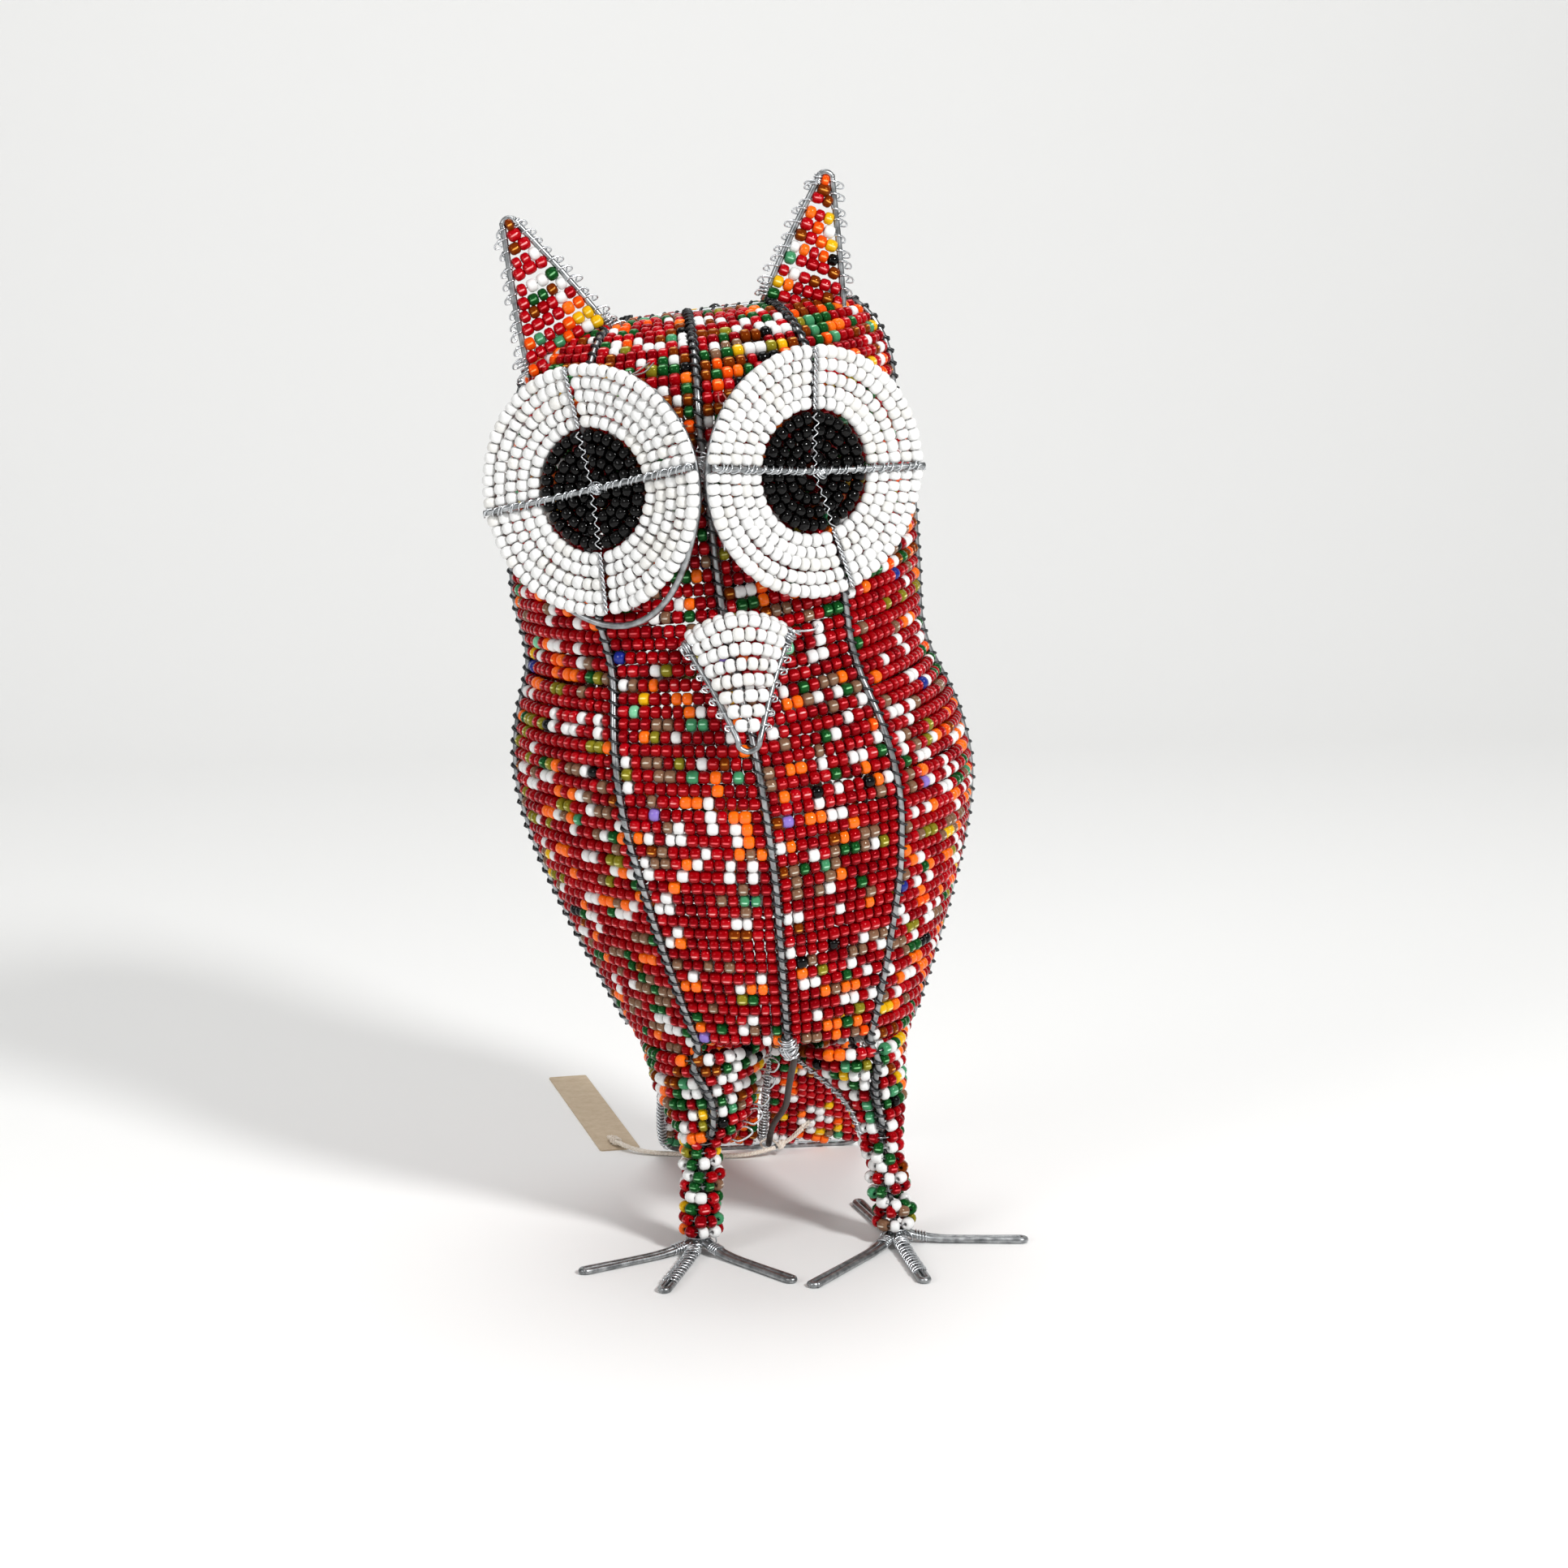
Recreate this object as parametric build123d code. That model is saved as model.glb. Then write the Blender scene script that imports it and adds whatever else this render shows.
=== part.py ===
from build123d import *
import math
import os

# A free-standing owl made of wire and glass beads.
# Millimetres. +Z is up and the owl faces -Y. The origin is the middle of the whole owl's
# footprint, on the surface that it stands on. The frame is bent from galvanised wire, and rows
# of seed beads on a thin wire are wound from rib to rib. The body leans towards the owl's right
# (-X). "Left" and "right" in the names are as seen from in front, so left is -X.

# ---- driving dimensions ----
FOOT_SHIFT = (13.0, -20.3)    # from the origin to the point midway between the ankles
BEAD = 3.6                   # a row of beads is this thick
RIB_R = 1.0                  # heavy wire, radius
THIN_R = 0.85                # wire of the ears, the beak and the eye crosses, radius
RIB_GAP = 0.45               # from a rib to the beads beside it

ANKLE_X = 31.2               # each ankle is this far from the middle
LEG_R = 7.3                  # outside of a leg's winding of beads
LEG_BORE = 3.9               # the wires inside it are loose
LEG_FOOT = 5.6               # a leg's beads start at this height
LEG_TOP = 33.4

# The body's cross-sections are ellipses, each turned a little to follow the lean:
# height, middle x, middle y, half width, half depth, side tilt in degrees.
BODY = [
    (64.0, -6.3, 12.0, 42.5, 37.0, 0.0),
    (85.0, -8.6, 11.5, 51.5, 46.0, 0.0),
    (111.0, -11.6, 11.0, 61.5, 55.0, 0.0),
    (134.0, -14.0, 10.0, 68.5, 60.5, 0.0),
    (153.0, -15.6, 10.0, 71.0, 62.5, 0.0),
    (171.0, -17.8, 10.0, 68.0, 60.0, 1.5),
    (190.0, -21.0, 10.0, 61.5, 54.5, 3.0),
    (210.0, -24.0, 10.0, 62.5, 54.5, 4.0),
    (240.0, -26.0, 10.0, 62.0, 54.0, 5.0),
    (262.0, -27.5, 10.0, 58.5, 51.0, 6.0),
]
CROWN = 262.0                # above this the head closes over
RISE = 30.0                  # height of the crown
RIDGE = 38.0                 # half length of the ridge that the crown closes to
PANEL_FOOT = 66.0
PANEL_TOP = 286.0            # the head panels stop here and the crown cap covers the rest

# Thighs: height, middle x, middle y, half width, half depth.
THIGHS = {
    "left": [(64.0, -28.0, 9.0, 20.4, 30.0), (50.0, -28.0, 4.0, 16.5, 17.0),
             (42.0, -28.0, 1.0, 12.3, 11.5), (35.5, -29.8, 0.0, 7.6, 7.6)],
    "right": [(64.0, 15.0, 9.0, 20.4, 30.0), (50.0, 22.8, 4.0, 12.0, 15.0),
              (42.0, 25.0, 1.0, 8.8, 9.5), (35.5, 26.0, 0.0, 7.6, 7.6)],
}
THIGH_RIBS = {"left": (-20.0, 16.0), "right": (22.0, -18.0)}   # front and back rib at its top, degrees
THIGH_STRAIGHT = 50.0        # below this the ribs run down the middle of the front and back
LEG_HEAD = {"left": (-30.1, 0.0), "right": (26.0, 0.0)}
ANKLE = {"left": (-ANKLE_X, 0.0), "right": (ANKLE_X, 0.0)}

# Where each rib runs round the body, in degrees from the front.
RIBS = {"front": 0.0, "front_right": 36.0, "side_right": 88.0, "back_right": 140.0,
        "back": 180.0, "back_left": 220.0, "side_left": 272.0, "front_left": 324.0}
TWIST_FOOT = 126.0           # the head is turned from here up
TWIST = -7.0                 # by this many degrees at the crown

# Eyes: middle of the dish, and the way that it faces, in degrees from the front.
EYES = {"left": ((-67.2, -39.8, 241.8), -36.0), "right": ((-0.2, -47.6, 247.0), 24.0)}
EYE_R = 36.4
PUPIL_R = 18.0
DISH = 3.6                   # how far the dish is sunk at its middle

# Ears: outer foot, inner foot, tip, in the plane y = 0.
EAR_Y = 0.0
EARS = {"left": ((-82.0, 275.0), (-57.5, 289.0), (-86.8, 318.4)),
        "right": ((14.4, 288.0), (-10.4, 297.5), (8.1, 332.0))}
EAR_TIP = 3.4                # distance between the two legs of the wire at the tip

# Toes: length and heading in degrees from the front, positive towards +X.
TOES = {
    "left": {"outer": (43.4, -64.5), "front": (43.0, -21.0), "inner": (44.0, 35.4), "back": (42.0, 178.0)},
    "right": {"inner": (52.6, -38.8), "front": (41.7, 3.0), "outer": (41.7, 82.4), "back": (41.8, 188.6)},
}
TOE_ROOT = 6.4               # where a toe leaves the wrapping round the ankle
TOE_WIDTH = 2.6              # between the two wires of a folded toe

# Tail: a flat beaded panel from the back of the body down to the surface.
TAIL_FOOT = (2.2, 108.0)     # middle of its bottom edge
TAIL_HEAD = (-3.0, 54.5, 76.0)
TAIL_HALF = 35.5
TAIL_HALF_TOP = 31.0

# String and swing tag.
STRING_R = 0.8
TAG = (14.0, 98.0, 0.5)
TAG_MIDDLE = (-52.9, 161.0)
TAG_HEADING = 7.0            # degrees from +Y, positive towards -X
TAG_HOLE_R = 2.0

OUT = "parts"


# ---- shape of the body ----
def between(rows, height, column):
    """A smooth curve through the rows of a table, read at one height."""
    last = len(rows) - 1
    low = max([i for i in range(last) if rows[i][0] <= height], default=0)

    def slope(i):
        before, after = rows[max(i - 1, 0)], rows[min(i + 1, last)]
        return (after[column] - before[column]) / (after[0] - before[0])

    span = rows[low + 1][0] - rows[low][0]
    u = (height - rows[low][0]) / span
    start, end = rows[low][column], rows[low + 1][column]
    rise_in, rise_out = slope(low) * span, slope(low + 1) * span
    return (start * (2 * u**3 - 3 * u**2 + 1) + rise_in * (u**3 - 2 * u**2 + u)
            + end * (3 * u**2 - 2 * u**3) + rise_out * (u**3 - u**2))


def body_section(level):
    """Height, middle, half axes and tilt. Past CROWN, level runs on to CROWN + RISE at the ridge."""
    if level <= CROWN:
        return (level,) + tuple(between(BODY, level, column) for column in range(1, 6))
    turn = math.radians(90 * (level - CROWN) / RISE)
    _, x, y, half_width, half_depth, tilt = BODY[-1]
    return (CROWN + RISE * math.sin(turn), x - math.sin(turn), y,
            RIDGE + (half_width - RIDGE) * math.cos(turn), half_depth * math.cos(turn), tilt + 1.5)


def thigh_section(side, level):
    rows = THIGHS[side][::-1]
    return (level,) + tuple(between(rows, level, column) for column in range(1, 5)) + (0.0,)


def on_section(section, angle, inset=0.0):
    """The point of a section at an angle in degrees from the front, inset towards its middle."""
    height, x, y, half_width, half_depth, tilt = section
    turn = math.radians(angle)
    across = max(half_width - inset, 0.2) * math.sin(turn)
    deep = -max(half_depth - inset, 0.2) * math.cos(turn)
    lean = math.radians(tilt)
    return Vector(x + across * math.cos(lean), y + deep, height + across * math.sin(lean))


def thigh_rib_angle(side, front, level):
    share = max(level - THIGH_STRAIGHT, 0.0) / (THIGHS[side][0][0] - THIGH_STRAIGHT)
    return THIGH_RIBS[side][0] * share if front else 180.0 + THIGH_RIBS[side][1] * share


def rib_angle(name, level):
    share = min(max((level - TWIST_FOOT) / (CROWN - TWIST_FOOT), 0.0), 1.0)
    return RIBS[name] + TWIST * share


# ---- building blocks ----
def placed(shape):
    return Pos(FOOT_SHIFT[0], FOOT_SHIFT[1], 0) * shape


def save(name, shape):
    export_step(placed(shape), os.path.join(OUT, name + ".step"))


def bend_radii(points):
    """The largest bend that fits at each corner of a route of straight runs."""
    radii = []
    for before, corner, after in zip(points, points[1:], points[2:]):
        run_in, run_out = corner - before, after - corner
        half_turn = math.radians(run_in.get_angle(run_out)) / 2
        radii.append(0.45 * min(run_in.length, run_out.length) / math.tan(half_turn))
    return radii


def wire(points, radius):
    """A round wire along straight runs joined by bends."""
    points = [Vector(p) for p in points]
    path = FilletPolyline(*points, radius=bend_radii(points)) if len(points) > 2 else Line(*points)
    start = Plane(origin=path @ 0, z_dir=path % 0)
    return sweep(start * Circle(radius), path=path)


def band(sections, angles_from, angles_to):
    """A curved panel one bead thick, between two edges that climb through the sections."""
    faces = []
    for section, first, last in zip(sections, angles_from, angles_to):
        steps = [first + (last - first) * i / 4 for i in range(5)]
        outside = [on_section(section, a) for a in steps]
        inside = [on_section(section, a, BEAD) for a in steps]
        edges = [Edge.make_spline(outside), Edge.make_line(outside[-1], inside[-1]),
                 Edge.make_spline(inside[::-1]), Edge.make_line(inside[0], outside[0])]
        faces.append(Face(Wire(edges)))
    return loft(faces)


def clear_of(section, angle, way):
    """The angle that keeps a panel's edge off a rib which runs at the given angle."""
    reach = 0.5
    here = on_section(section, angle, BEAD / 2)
    there = on_section(section, angle + way * reach, BEAD / 2)
    return angle + way * reach * (RIB_R + RIB_GAP) / (there - here).length


def levels_between(low, high, count):
    return [low + (high - low) * i / (count - 1) for i in range(count)]


# ---- the beaded panels between the ribs ----
def panel(name, first, last, levels):
    sections = [body_section(level) for level in levels]
    wrap = 360.0 if RIBS[last] < RIBS[first] else 0.0
    starts = [clear_of(s, rib_angle(first, v), 1) for s, v in zip(sections, levels)]
    ends = [clear_of(s, rib_angle(last, v) + wrap, -1) for s, v in zip(sections, levels)]
    save(name, band(sections, starts, ends))


def bead_panels():
    names = list(RIBS)
    levels = levels_between(PANEL_FOOT, CROWN, 12) + levels_between(CROWN, PANEL_TOP, 4)[1:]
    for first, last in zip(names, names[1:] + names[:1]):
        panel("bead_panel_" + first + "_to_" + last, first, last, levels)


def crown_cap():
    """The short rows that close the top of the head, as one solid."""
    levels = [PANEL_TOP + 0.6, PANEL_TOP + 3.0, CROWN + RISE - 1.2]
    faces = []
    for level in levels:
        section = body_section(level)
        ring = [on_section(section, a) for a in range(0, 360, 30)]
        faces.append(Face(Wire([Edge.make_spline(ring + ring[:1])])))
    save("crown_beads", loft(faces))


# ---- ribs ----
def rib_route(name):
    levels = levels_between(PANEL_FOOT + 4, CROWN, 14) + [CROWN + 8, CROWN + 15, CROWN + 20]
    return [on_section(body_section(v), rib_angle(name, v), RIB_R) for v in levels]


def leg_route(side, front):
    """A rib's way down the thigh and inside the leg's beads, from the top."""
    shift = -RIB_R - 0.2 if front else RIB_R + 0.2
    way = [on_section(thigh_section(side, v), thigh_rib_angle(side, front, v), RIB_R)
           for v in (62.0, 54.0, 47.0, 41.0)]
    top, foot = LEG_HEAD[side], ANKLE[side]
    way.append(Vector(top[0], top[1] + shift * 1.7, 35.0))
    way.append(Vector((top[0] * 2 + foot[0]) / 3, shift * 1.3, 22.0))
    way.append(Vector(foot[0], shift, 2.6))
    return way


def ribs():
    for name in RIBS:
        route = rib_route(name)
        side = name.split("_")[-1]
        if name.startswith("front_") or name.startswith("back_"):
            route = leg_route(side, name.startswith("front_"))[::-1] + route
        save("rib_" + name, wire(route, RIB_R))


# ---- legs and feet ----
def thighs():
    for side in THIGHS:
        levels = levels_between(63.4, 35.5, 6)
        sections = [thigh_section(side, v) for v in levels]
        fronts = [thigh_rib_angle(side, True, v) for v in levels]
        backs = [thigh_rib_angle(side, False, v) for v in levels]
        rounds = [angle + 360.0 for angle in fronts]
        for part, first, last in (("right_half", fronts, backs), ("left_half", backs, rounds)):
            starts = [clear_of(s, angle, 1) for s, angle in zip(sections, first)]
            ends = [clear_of(s, angle, -1) for s, angle in zip(sections, last)]
            save("thigh_beads_" + side + "_" + part, band(sections, starts, ends))


def legs():
    for side in THIGHS:
        foot, head = ANKLE[side], LEG_HEAD[side]
        low = Vector(foot[0], foot[1], LEG_FOOT)
        high = Vector(head[0], head[1], LEG_TOP + 0.4)
        plane = Plane(origin=low, z_dir=high - low)
        outline = plane * (Circle(LEG_R) - Circle(LEG_BORE))
        save("leg_beads_" + side, extrude(outline, amount=(high - low).length))


def ankle_wraps():
    """A few turns of thin wire that bind the toes to the ribs, as one ring."""
    for side, (x, y) in ANKLE.items():
        ring = Cylinder(5.6, 3.2, align=(Align.CENTER, Align.CENTER, Align.MIN))
        bore = Cylinder(3.0, 3.2, align=(Align.CENTER, Align.CENTER, Align.MIN))
        save("ankle_wrap_" + side, Pos(x, y, 1.2) * (ring - bore))


def toes():
    for side, foot_toes in TOES.items():
        x, y = ANKLE[side]
        for name, (length, heading) in foot_toes.items():
            turn = math.radians(heading)
            along = Vector(math.sin(turn), -math.cos(turn), 0)
            across = Vector(math.cos(turn), math.sin(turn), 0) * (TOE_WIDTH / 2)
            root = Vector(x, y, RIB_R) + along * TOE_ROOT
            tip = Vector(x, y, RIB_R) + along * (length - RIB_R)
            path = FilletPolyline(root - across, tip - across, tip + across, root + across,
                                  radius=TOE_WIDTH / 2 - 0.05)
            start = Plane(origin=path @ 0, z_dir=path % 0)
            save("toe_" + side + "_" + name, sweep(start * Circle(RIB_R), path=path))


# ---- eyes ----
def eye_place(side):
    middle, heading = EYES[side]
    turn = math.radians(heading)
    out = Vector(math.sin(turn), -math.cos(turn), 0)
    return Plane(origin=middle, x_dir=(math.cos(turn), math.sin(turn), 0), z_dir=out)


def dish_ring(inner, outer):
    """A ring of the shallow dish, turned about the dish's axis."""
    def rise(radius):
        return DISH * (radius / EYE_R - 1)
    profile = Polyline((inner, 0, rise(inner) - BEAD), (outer, 0, rise(outer) - BEAD),
                       (outer, 0, rise(outer)), (inner, 0, rise(inner)), close=True)
    return revolve(make_face(profile), axis=Axis.Z)


def eyes():
    for side in EYES:
        place = eye_place(side)
        save("eye_white_" + side, place * dish_ring(PUPIL_R + 0.2, EYE_R))
        save("eye_pupil_" + side, place * dish_ring(0.0, PUPIL_R))
        rim = Pos(0, 0, -BEAD - RIB_R - 0.1) * Torus(EYE_R - RIB_R, RIB_R)
        save("eye_rim_wire_" + side, place * rim)
        bars = []
        for heading, lift in ((90.0, 0.1), (6.0, 2 * THIN_R + 0.2)):
            turn = math.radians(heading)
            ends = [Vector(s * EYE_R * math.cos(turn), s * EYE_R * math.sin(turn), THIN_R + lift)
                    for s in (-1, 1)]
            bars.append(wire([ends[0], Vector(0, 0, THIN_R + lift - DISH * 0.5), ends[1]], THIN_R))
        save("eye_cross_" + side, place * Compound(children=bars))


# ---- beak ----
BEAK_LEFT = (-39.6, -49.5, 198.0)
BEAK_RIGHT = (-10.0, -51.5, 200.5)
BEAK_TOP = (-25.6, -56.0, 204.5)
BEAK_TIP = (-23.6, -67.5, 174.0)


def beak():
    left, right, top, tip = (Vector(p) for p in (BEAK_LEFT, BEAK_RIGHT, BEAK_TOP, BEAK_TIP))
    side = Vector(2.2, 0, 0)
    frame = wire([left, tip - side, tip - Vector(0, 0, 4.5), tip + side, right], THIN_R)
    save("beak_frame", frame)
    back = Vector(0, 1, 0)
    inner = [left + Vector(2.6, 0, -0.6), right + Vector(-2.6, 0, -0.6), top + Vector(0, 3, -1.5),
             tip + Vector(0, 0.8, 3.4)]
    hidden = [p + back * 2.6 for p in inner]
    save("beak_beads", hull_of(inner, hidden))


def hull_of(front, behind):
    """A closed solid between two copies of a bent four-cornered face."""
    left, right, top, tip = range(4)
    faces = []
    for corners in (front, behind):
        faces.append(Face(Wire.make_polygon([corners[left], corners[top], corners[tip]])))
        faces.append(Face(Wire.make_polygon([corners[top], corners[right], corners[tip]])))
    for a, b in ((left, top), (top, right), (right, tip), (tip, left)):
        faces.append(Face(Wire.make_polygon([front[a], front[b], behind[b]])))
        faces.append(Face(Wire.make_polygon([front[a], behind[b], behind[a]])))
    return Solid(Shell(faces))


# ---- ears ----
def ears():
    for side, (outer, inner, tip) in EARS.items():
        outer, inner, tip = (Vector(x, EAR_Y, z) for x, z in (outer, inner, tip))
        middle = (outer + inner) * 0.5
        across = (inner - outer).normalized() * (EAR_TIP / 2)
        save("ear_frame_" + side, wire([outer, tip - across, tip + across, inner], THIN_R))
        edge = across.normalized() * (THIN_R + 2.4)
        base = (tip - middle).normalized() * 5.5
        corners = [outer + edge + base, inner - edge + base, tip - (tip - middle).normalized() * 9]
        face = Face(Wire.make_polygon(corners))
        save("ear_beads_" + side, Pos(0, BEAD / 2, 0) * extrude(face, amount=BEAD, dir=(0, -1, 0)))


# ---- tail ----
def tail_point(across, share):
    """A point of the tail's middle sheet: share is 0 at the body and 1 at the bottom edge."""
    half = TAIL_HALF_TOP + (TAIL_HALF - TAIL_HALF_TOP) * share
    x = TAIL_HEAD[0] + (TAIL_FOOT[0] - TAIL_HEAD[0]) * share
    y = TAIL_HEAD[1] + (TAIL_FOOT[1] - TAIL_HEAD[1]) * share
    z = TAIL_HEAD[2] + (RIB_R - TAIL_HEAD[2]) * share
    return Vector(x + across * half, y, z)


def tail():
    loop = [tail_point(-1, 0.03), tail_point(-1, 0.62), tail_point(-1, 0.9), tail_point(-0.8, 1),
            tail_point(0.8, 1), tail_point(1, 0.9), tail_point(1, 0.62), tail_point(1, 0.03)]
    loop[1] += Vector(-1.2, 0, 0)
    loop[6] += Vector(1.2, 0, 0)
    save("tail_frame", wire(loop, RIB_R))
    spine = [tail_point(0, 0.03), tail_point(0, 0.5) + Vector(0.8, 0.4, 0.4), tail_point(0, 0.955)]
    save("tail_rib", wire(spine, RIB_R))
    down = (tail_point(0, 1) - tail_point(0, 0)).normalized()
    out = Vector(1, 0, 0).cross(down).normalized() * (BEAD / 2)
    edge = RIB_R + RIB_GAP
    for name, way in (("left", -1), ("right", 1)):
        corners = [tail_point(way, 0.05) - Vector(way * edge, 0, 0),
                   tail_point(way, 0.88) - Vector(way * edge, 0, 0),
                   tail_point(way * 0.8, 0.955), tail_point(0, 0.955) + Vector(way * (edge + 0.9), 0, 0),
                   tail_point(0, 0.05) + Vector(way * (edge + 0.9), 0, 0)]
        face = Face(Wire.make_polygon([c - out for c in corners]))
        save("tail_beads_" + name, extrude(face, amount=BEAD, dir=tuple(out.normalized())))


def brace():
    """A plain heavy wire from the crotch back to the foot of the tail."""
    route = [(-3.0, -18.0, 66.5), (-1.5, 2.0, 58.0), (1.0, 30.0, 44.0), (4.0, 62.0, 28.0),
             (3.2, 88.0, 14.0), (3.4, 101.0, 3.6)]
    save("tail_brace", wire(route, RIB_R))


def lashings():
    """The knots of thin wire at the crotch and between the eyes, each a short wound bead."""
    save("crotch_lashing", Pos(-5.5, -22.0, 62.4) * Sphere(3.4))
    save("eye_bridge_lashing", Pos(-35.0, -49.6, 249.0) * Sphere(2.6))


# ---- swing tag ----
STRING_ROUTE = [(-49.6, 123.6, 1.6), (-48.4, 117.0, 2.1), (-45.0, 110.4, 1.7), (-38.2, 105.4, 0.9),
                (-29.0, 102.6, 0.9), (-19.0, 99.4, 0.9), (-9.4, 97.4, 0.9), (-1.4, 96.6, 1.7),
                (5.0, 97.2, 3.4)]


def swing_tag():
    length = TAG[1]
    card = extrude(RectangleRounded(TAG[0], length, 1.0), amount=TAG[2])
    hole = Pos(0, -length / 2 + 7.0, 0) * Cylinder(TAG_HOLE_R, 4)
    card = Pos(TAG_MIDDLE[0], TAG_MIDDLE[1], 0) * Rot(0, 0, TAG_HEADING) * (card - hole)
    save("tag_card", card)
    points = [Vector(p) for p in STRING_ROUTE]
    print("string radii:", [round(r, 1) for r in bend_radii(points)])
    tube = wire(points, STRING_R)
    runs = sum((b - a).length for a, b in zip(points, points[1:]))
    print("string runs %.1f mm, volume over section %.1f mm"
          % (runs, tube.volume / (math.pi * STRING_R**2)))
    save("tag_string", tube)
    end = points[-1]
    save("tag_knot", Pos(end.X + 2.2, end.Y, end.Z + 1.0) * Sphere(2.0))


os.makedirs(OUT, exist_ok=True)
bead_panels()
crown_cap()
ribs()
thighs()
legs()
ankle_wraps()
toes()
eyes()
beak()
ears()
tail()
brace()
lashings()
swing_tag()
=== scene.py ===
import math
import random

import bpy
import numpy as np
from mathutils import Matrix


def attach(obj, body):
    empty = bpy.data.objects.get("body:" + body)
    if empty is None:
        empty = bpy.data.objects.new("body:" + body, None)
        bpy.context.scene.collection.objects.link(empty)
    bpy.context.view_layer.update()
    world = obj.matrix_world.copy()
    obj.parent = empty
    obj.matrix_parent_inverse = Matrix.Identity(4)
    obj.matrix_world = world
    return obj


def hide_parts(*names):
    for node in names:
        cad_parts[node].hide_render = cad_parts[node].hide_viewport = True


# A free-standing owl of glass beads strung on wire, wound on a frame of galvanised wire.
# Every bead and every wire is made here, in the CAD model's own places. Design units are
# millimetres, measured from the point midway between the ankles, and Mesh.build moves them by FOOT_SHIFT.

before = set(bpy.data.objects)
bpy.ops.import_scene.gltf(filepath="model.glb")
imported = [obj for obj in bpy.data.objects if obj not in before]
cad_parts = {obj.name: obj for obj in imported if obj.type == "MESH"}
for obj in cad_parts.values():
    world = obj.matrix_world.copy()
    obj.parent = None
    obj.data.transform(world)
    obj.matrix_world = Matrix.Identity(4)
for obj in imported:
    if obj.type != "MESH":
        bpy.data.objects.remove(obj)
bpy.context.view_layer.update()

MM = 0.001
ROOT = "root"
FOOT_SHIFT = np.array([13.0, -20.3, 0.0])    # as in the CAD model, from the origin to mid-ankle

# ---- sizes, as in the CAD model ----
RIB_R = 1.0
THIN_R = 0.85
BODY = [
    (64.0, -6.3, 12.0, 42.5, 37.0, 0.0),
    (85.0, -8.6, 11.5, 51.5, 46.0, 0.0),
    (111.0, -11.6, 11.0, 61.5, 55.0, 0.0),
    (134.0, -14.0, 10.0, 68.5, 60.5, 0.0),
    (153.0, -15.6, 10.0, 71.0, 62.5, 0.0),
    (171.0, -17.8, 10.0, 68.0, 60.0, 1.5),
    (190.0, -21.0, 10.0, 61.5, 54.5, 3.0),
    (210.0, -24.0, 10.0, 62.5, 54.5, 4.0),
    (240.0, -26.0, 10.0, 62.0, 54.0, 5.0),
    (262.0, -27.5, 10.0, 58.5, 51.0, 6.0),
]
CROWN = 262.0
RISE = 30.0
RIDGE = 38.0
PANEL_FOOT = 66.0
THIGHS = {
    "left": [(64.0, -28.0, 9.0, 20.4, 30.0), (50.0, -28.0, 4.0, 16.5, 17.0),
             (42.0, -28.0, 1.0, 12.3, 11.5), (35.5, -29.8, 0.0, 7.6, 7.6)],
    "right": [(64.0, 15.0, 9.0, 20.4, 30.0), (50.0, 22.8, 4.0, 12.0, 15.0),
              (42.0, 25.0, 1.0, 8.8, 9.5), (35.5, 26.0, 0.0, 7.6, 7.6)],
}
THIGH_RIBS = {"left": (-20.0, 16.0), "right": (22.0, -18.0)}
THIGH_STRAIGHT = 50.0
THIGH_ROWS = 9
LEG_HEAD = {"left": (-30.1, 0.0), "right": (26.0, 0.0)}
ANKLE = {"left": (-31.2, 0.0), "right": (31.2, 0.0)}
RIBS = {"front": 0.0, "front_right": 36.0, "side_right": 88.0, "back_right": 140.0,
        "back": 180.0, "back_left": 220.0, "side_left": 272.0, "front_left": 324.0}
TWIST_FOOT = 126.0
TWIST = -7.0
EYES = {"left": ((-67.2, -39.8, 241.8), -36.0), "right": ((-0.2, -47.6, 247.0), 24.0)}
EYE_R = 36.4
PUPIL_R = 18.0
DISH = 3.6
EARS = {"left": ((-82.0, 275.0), (-57.5, 289.0), (-86.8, 318.4)),
        "right": ((14.4, 288.0), (-10.4, 297.5), (8.1, 332.0))}
BEAK = {"left": (-39.6, -49.5, 198.0), "right": (-10.0, -51.5, 200.5),
        "tip": (-23.6, -67.5, 174.0)}
TOES = {
    "left": {"outer": (43.4, -64.5), "front": (43.0, -21.0), "inner": (44.0, 35.4), "back": (42.0, 178.0)},
    "right": {"inner": (52.6, -38.8), "front": (41.7, 3.0), "outer": (41.7, 82.4), "back": (41.8, 188.6)},
}
TAIL_FOOT = (2.2, 108.0)
TAIL_HEAD = (-3.0, 54.5, 76.0)
TAIL_HALF = 35.5
TAIL_HALF_TOP = 31.0

STRAND_R = 0.74              # one of the string's two strands
STRAND_OFF = 0.55            # from the string's middle to a strand's
STRING_ROUTE = [(-49.6, 123.6, 1.6), (-48.4, 117.0, 2.1), (-45.0, 110.4, 1.7), (-38.2, 105.4, 0.9),
                (-29.0, 102.6, 0.9), (-19.0, 99.4, 0.9), (-9.4, 97.4, 0.9), (-1.4, 96.6, 1.7),
                (5.0, 97.2, 3.4)]

# ---- sizes of the beads and the thin wire ----
BEAD_R = 1.97
BEAD_LONG = 3.25
PITCH = 3.32                 # from bead to bead along a row
ROW = 3.92                   # from row to row
BINDING_R = 0.27
STRING_WIRE_R = 0.22
WINDING_R = 0.42             # the dark wire wound round each rib
WINDING_PITCH = ROW * 0.96
BEAD_ROUGH = 0.07

rng = random.Random(20261117)


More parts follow.
